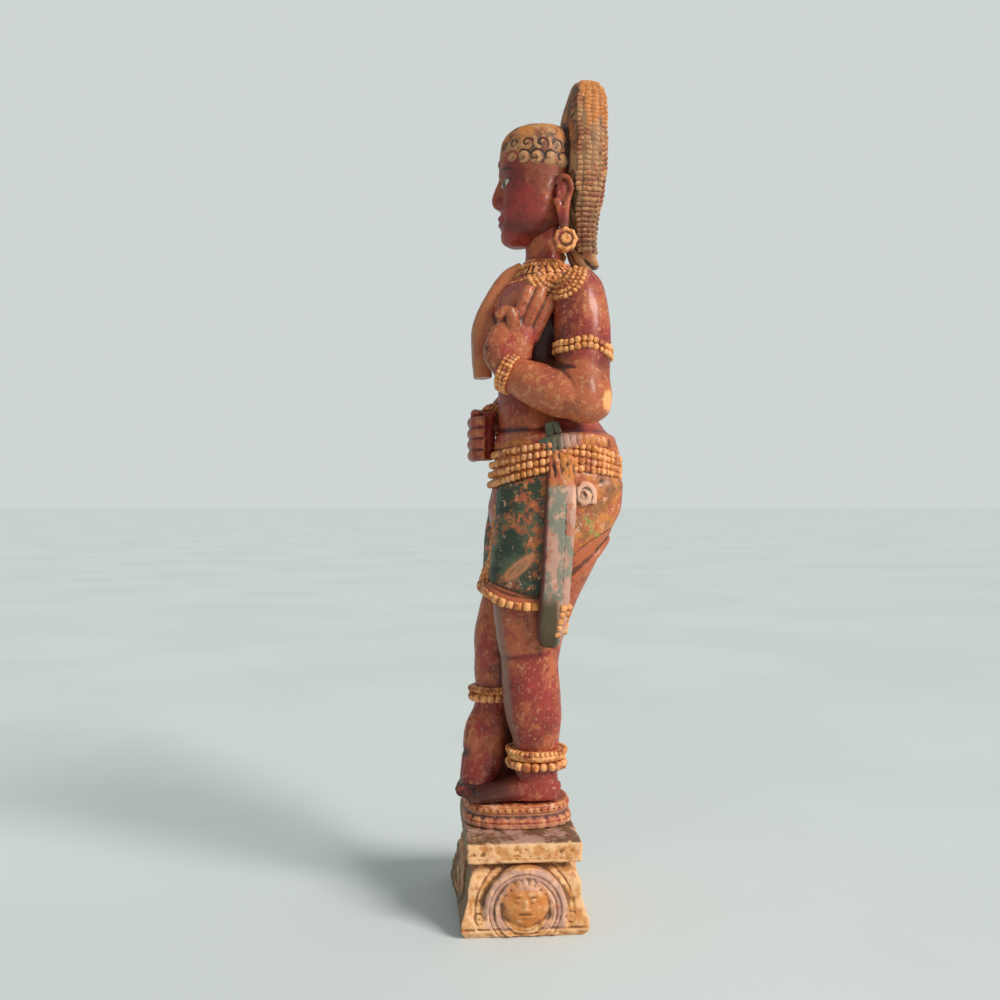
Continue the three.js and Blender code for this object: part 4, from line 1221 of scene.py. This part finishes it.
class STATUE_OT_sash(bpy.types.Operator):
    """Carve the long folded sash and its looped knot at the left hip"""

    bl_idname = "statue.sash"
    bl_label = "Sash and knot"

    def execute(self, context):
        bm = bmesh.new()
        limb(bm, SASH_FOLD, X_AXIS, 32, 48, 3.4)
        shell = []
        for i in range(15):
            angle = -0.6 + i * 0.62
            radius = 15 - i * 0.95
            shell.append([69 + i * 0.4, 63 + math.cos(angle) * radius * 0.72, 352 + math.sin(angle) * radius, 5, 4])
        limb(bm, shell, X_AXIS, 16, 70)
        lump(bm, (70, 62, 351), (7, 7, 10), 18)
        lump(bm, (75, 45, 377), (5, 5.5, 10), 18)
        limb(bm, [[62, 30, 372, 6, 8], [73, 36, 384, 6.5, 8], [74, 46, 389, 6, 6], [70, 52, 380, 6, 6],
                  [71, 44, 371, 6, 7], [66, 34, 366, 6, 8]], X_AXIS, 16, 40)
        lump(bm, (74, 40, 372), (6, 8, 7), 16)
        limb(bm, [[64, 18, 404, 4, 6], [72, 36, 408, 5, 8], [70, 60, 410, 5, 8], [58, 84, 408, 5, 7],
                  [34, 101, 402, 4, 6]], X_AXIS, 20, 40, 2.6)
        limb(bm, [[70, 30, 398, 4, 5], [75, 34, 386, 4.5, 6], [76, 37, 374, 3.5, 4]], X_AXIS, 14, 16)

        def relief(spots, ways):
            x, y, z = spots.T
            below = fall(z, 342, 352)
            across = (y - 33 - (z - 262) * 0.045) / 16
            outside = slope(ways[:, 0], 0.3, 0.7)
            cut = -0.45 * soft(across - 0.42, 0.10) * below * outside
            cut -= 0.8 * np.abs(np.cos(across * 7 + z / 12)) ** 4 * (1 - below) * outside * slope(z, 366, 376)
            cut += 0.2 * toolwork(spots, 12, 61)
            return cut

        def marks(spots, ways):
            x, y, z = spots.T
            return {
                # Painted shade on the narrow front side.
                "front": fall(ways[:, 1], -0.6, -0.25) * fall(z, 380, 392),
                "end": fall(z, 236, 258) * fall(y, 32, 38),
                "edge": slope(y - 33 - (z - 262) * 0.045, 5, 8),
                "knot": slope(z, 358, 366) * fall(z, 396, 402) + slope(z, 396, 402) * slope(y, 50, 62),
                "green": slope(z, 396, 400) * fall(y, 36, 42),
                "shell": fall(np.hypot((y - 64) / 14, (z - 352) / 18), 0.95, 1.1),
                "leaf": fall(np.hypot((y - 45) / 6.5, (z - 377) / 10), 0.9, 1.1) * slope(x, 66, 70),
            }

        return of_figure(context, carve(bm, "sash", 1.15, relief, marks, ease=2), sash_paint)


def slice_at(rows, z):
    """The row of a body at the height z."""
    row = row_at(rows, place_of_height(rows, z))
    row[2] = z
    return row


def wrist_ring(rows, extra, count, along=0.0):
    """The middle of a hoop round a wrist, and its points."""
    forward = (Vector(row_at(rows, WRIST + 0.07)[:3]) - Vector(row_at(rows, WRIST - 0.1)[:3])).normalized()
    middle = Vector(row_at(rows, WRIST)[:3]) + forward * along
    turn = Z_AXIS.rotation_difference(forward)
    radius = row_at(rows, WRIST)[3] + extra
    angles = np.linspace(0, 2 * math.pi, count, endpoint=False)
    return middle, [middle + turn @ Vector((math.cos(a) * radius, math.sin(a) * radius, 0)) for a in angles]


def garland_run(z):
    """How far forward the garland hangs at each height."""
    return np.interp(z, [479, 508, 536, 563, 589, 602], [-37, -38, -37, -25, -9, 8])


class STATUE_OT_jewels(bpy.types.Operator):
    """Carve the collar, the garland, the hoops and the ear discs"""

    bl_idname = "statue.jewels"
    bl_label = "Collar, garland and hoops"

    def execute(self, context):
        bm = bmesh.new()
        trunk(bm, COLLAR, 56, 24)
        for rows in (LEFT_FOREARM, RIGHT_FOREARM):
            middle, points = wrist_ring(rows, 1, 40)
            band(bm, points, lambda spot, c=middle: c, 3.2, 6.5)
        for rows, z, thick, tall in ((LEFT_LEG, 76, 7.0, 5.8), (RIGHT_LEG, 139, 4.6, 4.4)):
            band(bm, girth(slice_at(rows, z), 2.0, count=60), axis_middle(rows), thick, tall)
        for hand in (-1, 1):
            def disc(t, angle, rho, hand=hand):
                profile = [[12, -7.5], [12.5, -6], [12.5, -2], [11, -1], [11, 1], [12.5, 2], [12.5, 5.5],
                           [11, 7.5], [6.5, 6.4], [4.5, 8.6]]
                radius, out = row_at(profile, t)
                radius *= 1 + 0.06 * math.cos(angle * 8)
                return Vector((hand * (43 + out), 47 + math.cos(angle) * radius * rho,
                               623 + math.sin(angle) * radius * rho))
            formed(bm, 48, 27, disc)

        def relief(spots, ways):
            x, y, z = spots.T
            angle = np.arctan2(y - 27, x)
            collar = slope(z, 577, 582) * fall(z, 600, 606) * slope(np.abs(x) + y, -20, 4)
            cut = -1.1 * np.abs(np.cos(angle * 16)) ** 4 * collar
            cut -= 1.0 * soft(z - 589, 1.2) * collar
            cut += 0.15 * toolwork(spots, 10, 71)
            return cut

        of_figure(context, carve(bm, "jewels", 1.15, relief, None, ease=2), gold_paint)

        bm = bmesh.new()
        limb(bm, GARLAND, X_AXIS, 32, 60, 3.2)

        def grooves(spots, ways):
            x, y, z = spots.T
            cut = -0.8 * soft(y - garland_run(z) + 7.5, 1.2) * slope(np.abs(ways[:, 0]), 0.4, 0.8) * fall(z, 540, 560)
            return cut + 0.2 * toolwork(spots, 14, 73)

        def garland_marks(spots, ways):
            x, y, z = spots.T
            run = garland_run(z)
            full = np.ones(len(spots))
            # The brow zone is painted shade along the garland's hidden back edge; the shin zone is painted reflection,
            # with dust, along its front edge.
            return {"warm": full, "plain": full, "chip": 0.2 * full, "brow": 0.9 * slope(y - run, 8, 11),
                    "shin": 0.7 * slope(run - 7 - y, 0, 2) * fall(z, 530, 560)}

        return of_figure(context, carve(bm, "garland", 1.3, grooves, garland_marks, ease=2), skin_paint)


class STATUE_OT_beads(bpy.types.Operator):
    """Carve the strings of beads"""

    bl_idname = "statue.beads"
    bl_label = "Strings of beads"

    def execute(self, context):
        size = sizes_of(context).bead / MM
        hem = sizes_of(context).hem_bead / MM
        bm = bmesh.new()
        for k in range(4):
            ring = girth([3, 42.2 - 0.55 * k, 0, 66.5, 66, 2], 2.6 + 0.55 * k,
                         lambda angle, k=k: belt_height(angle, k))
            beads_along(bm, ring, axis_middle(TORSO), (size, size * 0.95, size), 0.85)
        for rows in (LEFT_UPPER_ARM, RIGHT_UPPER_ARM):
            x, y, z, a, b = row_at(rows, ARM_STRING)
            for drop in (-3.4, 3.4):
                arch = girth([x, y, z + drop, a, b], -0.4, lambda angle: (
                    7 * max(0.0, 0.6 - abs(math.sin(angle))) - 6 * max(0.0, math.sin(angle)) ** 2))
                beads_along(bm, arch, lambda spot, c=(x, y): (c[0], c[1], spot[2]), (3.3, 3.2, 3.3), 0.85)
        for rows in (LEFT_FOREARM, RIGHT_FOREARM):
            for along in (-4.4, 0, 4.4):
                middle, points = wrist_ring(rows, 3.6, 60, along)
                beads_along(bm, points, lambda spot, c=middle: c, (2.5, 2.2, 2.3), 0.85)
        for rows, z, radius, extra in (
            (LEFT_LEG, 66, 4.6, 6.6), (LEFT_LEG, 80, 2.8, 7.4), (RIGHT_LEG, 131, 4.4, 3.4), (RIGHT_LEG, 139, 2.2, 6.4),
        ):
            beads_along(bm, girth(slice_at(rows, z), extra), axis_middle(rows), (radius, radius * 0.95, radius), 0.8)
        for z, grow, radius in ((581, 1.5, 3.0), (600, 1.0, 2.4)):
            beads_along(bm, girth(slice_at(COLLAR, z), grow), axis_middle(COLLAR), (radius, radius, radius), 0.85)
        for rows, hand in ((LEFT_LEG, 1), (RIGHT_LEG, -1)):
            line = []
            for i in range(120):
                outer = math.radians(-128 + 140 * i / 119)
                angle = outer if hand > 0 else math.pi - outer
                line.append(cloth_spot(rows, angle, hem_height(outer) + 5.5, 9.4 if hand > 0 else 6.5))
            beads_along(bm, line, axis_middle(rows), (hem, 3.0, hem), 0.55, closed=False, pitch=2.05)
            rail = []
            outer = math.radians(-97 if hand > 0 else -60)
            for z in range(256, 346, 2):
                rail.append(cloth_spot(rows, outer if hand > 0 else math.pi - outer, z, 4.6 if hand > 0 else 3.0))
            beads_along(bm, rail, axis_middle(rows), (3.4, 2.8, 3.6), 0.7, closed=False)
        for out, across, length in ((80, 41, 10), (77, 47, 9)):
            fringe = [(out - 0.5 * i, across - 0.8 * i, 240 - 3.8 * i) for i in range(length)]
            beads_along(bm, fringe, lambda spot: (spot[0] - 8, spot[1] - 3, spot[2]), (3.6, 3.2, 3.6), 0.8,
                        closed=False)
        body = BVHTree.FromObject(bpy.data.objects["body"], context.evaluated_depsgraph_get())
        for hand, centre in ((1, 34), (-1, -14)):
            eye = Vector((hand * VIEW_SPOT[0], *VIEW_SPOT[1:]))
            for inset, radius in ((0, 2.9), (5.5, 2.3), (10.5, 2.4), (15.5, 2.3)):
                line = []
                for turn in np.radians(np.linspace(-155, 8, 60)):
                    along, up = (31 - inset) * math.cos(turn), (35.5 - inset) * math.sin(turn)
                    goal = Vector((hand * 70, centre + along, 592 + up)) * MM + Vector((0, 0, FOOT_LEVEL))
                    found = body.ray_cast(eye, goal - eye)[0]
                    if found is not None and hand * found.x > 0:
                        line.append((found - Vector((0, 0, FOOT_LEVEL))) / MM)
                if len(line) < 20:
                    raise RuntimeError("the collar misses the shoulder")
                beads_along(bm, line, lambda spot, h=hand: (spot[0] - h * 10, spot[1] + 3, spot[2] - 3),
                            (radius, radius, radius), 0.85, closed=False)
        return of_figure(context, small_work(bm, "beads"), gold_paint)


class STATUE_OT_pad(bpy.types.Operator):
    """Carve the lotus pad under the feet"""

    bl_idname = "statue.pad"
    bl_label = "Lotus pad"

    def execute(self, context):
        bm = bmesh.new()
        profile = [[0, 0.965], [1.5, 0.99], [5, 1.0], [9, 0.985], [11.5, 0.93], [13, 0.915], [14.5, 0.94],
                   [18, 0.975], [21.5, 0.98], [23.8, 0.965], [25, 0.93]]

        def place(t, angle, rho):
            height, reach = row_at(profile, t)
            u, v = rim(angle, PAD_WIDE * reach, PAD_DEEP * reach, 2.6)
            return Vector((u * rho, v * rho - 1.5 * height / PAD_HEIGHT, height))

        formed(bm, 96, 30, place)

        def relief(spots, ways):
            x, y, z = spots.T
            angle = np.arctan2(y / PAD_DEEP, x / PAD_WIDE)
            side = slope(np.hypot(x / PAD_WIDE, y / PAD_DEEP), 0.78, 0.86)
            low = fall(z, 11.6, 12.4)
            high = 1 - low
            corner = slope(np.abs(np.sin(angle * 2)), 0.35, 0.8)
            cut = -1.1 * np.abs(np.cos(angle * 13)) ** 6 * low * side * (0.25 + 0.75 * corner)
            cut -= 0.6 * soft(z - 6.5, 1.0) * side
            cut -= 1.2 * np.abs(np.cos(angle * 24 + 0.7)) ** 5 * soft(z - 19.5, 2.0) * side
            cut -= 0.6 * (soft(z - 22.8, 0.8) + soft(z - 16.2, 0.8)) * side
            cut += 0.25 * toolwork(spots, 11, 81)
            return cut

        def marks(spots, ways):
            z = spots[:, 2]
            # The edge zone: pink at the foot, and a pink painted highlight along the waist line.
            return {"edge": np.clip(soft(z - 2, 3) + soft(z - 14, 3.5), 0, 1), "gilt": soft(z - 19.5, 3.5)}

        return of_figure(context, carve(bm, "lotus_pad", 1.05, relief, marks, ease=1), pad_paint)


def square_block(bm, rows):
    """Adds a block with four flat sides from rows of height and inset."""

    def place(t, angle, rho):
        z, inset = rows[round(t * (len(rows) - 1))]
        return Vector((
            math.copysign(1, math.cos(angle)) * (PLINTH_WIDE - inset) * rho,
            math.copysign(1, math.sin(angle)) * (PLINTH_DEEP - inset) * rho,
            z,
        ))

    formed(bm, 4, len(rows) - 1, place, math.pi / 4)


def face_place(spots):
    """For each point of the plinth, its place across and up from the arch's centre on the face it belongs to."""
    x, y, z = spots.T
    along = np.where(np.abs(x) / PLINTH_WIDE > np.abs(y) / PLINTH_DEEP, y * np.sign(x), -x * np.sign(y))
    return along, z - ARCH_CENTRE


class STATUE_OT_plinth(bpy.types.Operator):
    """Carve the plinth with its arches, small masks and corner scrolls"""

    bl_idname = "statue.plinth"
    bl_label = "Plinth"

    def execute(self, context):
        bm = bmesh.new()
        square_block(bm, [[share * BLOCK_HEIGHT, inset] for share, inset in BLOCK_PROFILE])
        square_block(bm, [[BLOCK_HEIGHT - 1, 12], [BLOCK_HEIGHT + 7, 12]])
        square_block(bm, [[BLOCK_HEIGHT + 6, 1], [BLOCK_HEIGHT + 8, 0], [PLINTH_HEIGHT - 2, 0], [PLINTH_HEIGHT, 1]])
        for sx in (-1, 1):
            for sy in (-1, 1):
                lump(bm, (sx * (PLINTH_WIDE + 1), sy * (PLINTH_DEEP + 1), 13), (5.5, 5.5, 9), 16)
        arch = [[ARCH_RADIUS, -9], [ARCH_RADIUS, 3.2], [41.5, 5.6], [38, 7.2], [34, 6.0], [31.5, 6.8], [29, 9],
                [26.5, 7.0], [25, 5.0], [20, 6.3], [0.5, 6.3]]
        for quarter in range(4):
            reach = PLINTH_DEEP if quarter % 2 else PLINTH_WIDE
            depth = 0.4 if quarter == 1 else 1.0
            turn = Quaternion(Z_AXIS, quarter * math.pi / 2)

            def place(t, angle, rho, reach=reach, depth=depth, turn=turn):
                radius, out = row_at(arch, t)
                across = math.cos(angle) * radius * rho
                up = math.sin(angle) * radius * rho
                up = max(up, 2 - ARCH_CENTRE)
                up = min(up, BLOCK_HEIGHT + 3 - ARCH_CENTRE)
                return turn @ Vector((reach - 1 + out * depth, across, ARCH_CENTRE + up))

            formed(bm, 64, 40, place)
            lump(bm, turn @ Vector((reach - 1 + 4.4 * depth, 0, ARCH_CENTRE + 8)),
                 [abs(c) for c in turn @ Vector((9.0 * depth, 24.5, 24.5))], 36)

        def relief(spots, ways):
            x, y, z = spots.T
            along, up = face_place(spots)
            outward = slope(np.maximum(np.abs(ways[:, 0]), np.abs(ways[:, 1])), 0.45, 0.75)
            hidden = np.where(y > PLINTH_DEEP - 12, 0.35, 1.0)
            radius = np.hypot(along, up)
            below = fall(z, 66, 68)
            inner = np.hypot(along, up - 8)
            outer = slope(inner, 25, 27)
            lines = -0.6 * np.abs(np.cos((radius - 28) * 0.75)) ** 4 * outer * fall(radius, 33, 35)
            lines -= 0.9 * soft(radius - 36.5, 1.1) * outer
            side = np.abs(along)
            v = (up - 8) / 1.12
            mask = 1.5 * hill(along, 2.4, v - 0.5, 4.2)
            mask += 1.2 * hill(along, 4.6, v + 4.0, 2.0)
            mask -= 1.5 * hill(side - 8.2, 4.4, v - 5.0, 3.0)
            mask += 1.7 * hill(side - 8.2, 3.2, v - 4.6, 1.7)
            mask += 1.0 * hill(side - 8.5, 5.5, v - 9.4, 1.3)
            mask -= 1.5 * hill(along, 7.0, v + 8.3, 1.0)
            mask += 1.0 * hill(along, 6.0, v + 10.6, 1.3)
            mask += 0.9 * hill(side - 10.5, 4, v + 3.5, 4.5)
            locks = -0.6 * np.abs(np.cos(np.arctan2(v, along) * 9)) ** 3 * slope(inner, 18, 20) * slope(v, 6, 10)
            locks = locks * fall(inner, 23.5, 25)
            cut = (lines + mask * fall(inner, 19, 22) + locks) * outward * below * hidden
            foot = fall(z, 8.5, 9.5)
            cut -= 1.0 * soft(z - 9.5, 1.4) * outward * slope(radius, 20, 24)
            corner = slope(radius, 44, 46) * below * (1 - foot) * outward
            cut -= 0.8 * soft(radius - 50.5, 1.3) * corner * hidden
            curl = np.hypot(np.abs(along) - 47, z - 20)
            cut -= 0.8 * np.abs(np.cos(curl * 0.62)) ** 4 * corner * fall(curl, 7, 9) * hidden
            slab = slope(z, 74, 75.5) * fall(z, 90.5, 92) * outward
            nicks = slope(toolwork(spots * (1, 1, 0.7), 8, 95), 0.35, 0.8)
            cut -= 0.7 * nicks * slab * hidden * soft(z - 83.5, 5.5)
            cut -= 0.5 * soft(z - 77.2, 0.8) * slab
            cut += 0.4 * toolwork(spots, 15, 91) + 0.2 * toolwork(spots, 7, 92)
            under = fall(z, 1, 2)
            return cut * (1 - under)

        def marks(spots, ways):
            along, up = face_place(spots)
            z = spots[:, 2]
            radius = np.hypot(along, up)
            outward = slope(np.maximum(np.abs(ways[:, 0]), np.abs(ways[:, 1])), 0.3, 0.6)
            block = fall(z, 67, 69) * slope(z, 7, 9)
            return {
                "arch": slope(radius, 22, 24) * fall(radius, 42, 44) * block * (radius / ARCH_RADIUS) ** 0.5,
                "boss": fall(np.hypot(along, up - 8), 24, 25.5) * block * outward,
                # The slab's top, painted partly as shade, and the front face, darkened with dust and painted shade.
                "top": slope(z, 92.6, 93.6),
                "front": fall(ways[:, 1], -0.85, -0.55),
            }

        piece = carve(bm, "plinth_carving", 1.35, relief, marks, ease=2, level=0.0, ridge_size=0.4)
        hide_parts("plinth")
        piece.data.materials.append(paint_of(context, plinth_paint))
        return {"FINISHED"}


def lamp(name, spot, target, size, power, tint):
    """Adds a soft square lamp that faces the target."""
    data = bpy.data.lights.new(name, "AREA")
    data.size = size
    data.energy = power
    data.color = tint
    made = shown(name, data)
    made.location = spot
    made.rotation_euler = (Vector(target) - Vector(spot)).to_track_quat("-Z", "Y").to_euler()


class STATUE_OT_stage(bpy.types.Operator):
    """Set the pale floor, the soft lights and the camera"""

    bl_idname = "statue.stage"
    bl_label = "Stage"

    def execute(self, context):
        scene = context.scene
        sizes = sizes_of(context)
        bm = bmesh.new()
        bmesh.ops.create_grid(bm, x_segments=4, y_segments=4, size=60)
        mesh = bpy.data.meshes.new("floor")
        bm.to_mesh(mesh)
        bm.free()
        floor = shown("floor", mesh)
        floor.data.materials.append(paint_of(context, floor_paint))
        sun = bpy.data.lights.new("window", "SUN")
        sun.energy = 3.0
        sun.angle = math.radians(24)
        sun.color = (1.0, 0.975, 0.94)
        window = shown("window", sun)
        window.rotation_euler = Vector((-0.62, -0.72, -0.62)).to_track_quat("-Z", "Y").to_euler()
        lamp("gloss", (1.35, 0.85, 0.75), (0, 0, 0.42), 0.2, 3, (1.0, 1.0, 1.0))
        world = bpy.data.worlds.new("studio")
        world.use_nodes = True
        tree = world.node_tree
        around = tree.nodes["Background"]
        around.inputs["Color"].default_value = (0.80, 0.88, 0.87, 1.0)
        around.inputs["Strength"].default_value = 0.50
        seen = tree.nodes.new("ShaderNodeBackground")
        seen.inputs["Color"].default_value = (0.62, 0.67, 0.66, 1.0)
        mixed = tree.nodes.new("ShaderNodeMixShader")
        path = tree.nodes.new("ShaderNodeLightPath")
        tree.links.new(path.outputs["Is Camera Ray"], mixed.inputs["Fac"])
        tree.links.new(around.outputs["Background"], mixed.inputs[1])
        tree.links.new(seen.outputs["Background"], mixed.inputs[2])
        tree.links.new(mixed.outputs["Shader"], tree.nodes["World Output"].inputs["Surface"])
        scene.world = world
        scene.view_settings.view_transform = "Standard"
        data = bpy.data.cameras.new("view")
        data.lens = VIEW_LENS
        data.sensor_width = 36
        data.clip_start = 0.05
        camera = shown("view", data)
        camera.location = (sizes.view_distance, VIEW_SPOT[1], sizes.view_height)
        turn = math.radians(VIEW_TURN)
        toward = Vector((-math.cos(turn), math.sin(turn), 0))
        camera.rotation_euler = toward.to_track_quat("-Z", "Y").to_euler()
        scene.camera = camera
        return {"FINISHED"}


STEPS = (
    STATUE_OT_stage, STATUE_OT_body, STATUE_OT_head, STATUE_OT_hands, STATUE_OT_feet, STATUE_OT_hair,
    STATUE_OT_cloth, STATUE_OT_sash, STATUE_OT_jewels, STATUE_OT_beads, STATUE_OT_pad, STATUE_OT_plinth,
)


class STATUE_PT_panel(bpy.types.Panel):
    """Lists the steps that build the statue"""

    bl_idname = "STATUE_PT_panel"
    bl_label = "Statue"
    bl_space_type = "VIEW_3D"
    bl_region_type = "UI"
    bl_category = "Statue"

    def draw(self, context):
        for group in (sizes_of(context), tones_of(context)):
            for key in group.__annotations__:
                self.layout.prop(group, key)
        for step in STEPS:
            self.layout.operator(step.bl_idname)


CLASSES = (StatueTones, StatueSizes, *STEPS, STATUE_PT_panel)


def register():
    for entry in CLASSES:
        bpy.utils.register_class(entry)
    bpy.types.Scene.statue_tones = bpy.props.PointerProperty(type=StatueTones)
    bpy.types.Scene.statue_sizes = bpy.props.PointerProperty(type=StatueSizes)


def unregister():
    del bpy.types.Scene.statue_sizes
    del bpy.types.Scene.statue_tones
    for entry in reversed(CLASSES):
        bpy.utils.unregister_class(entry)


def main():
    """Builds every piece."""
    register()
    for step in STEPS:
        family, action = step.bl_idname.split(".")
        getattr(getattr(bpy.ops, family), action)()


if __name__ == "__main__":
    main()
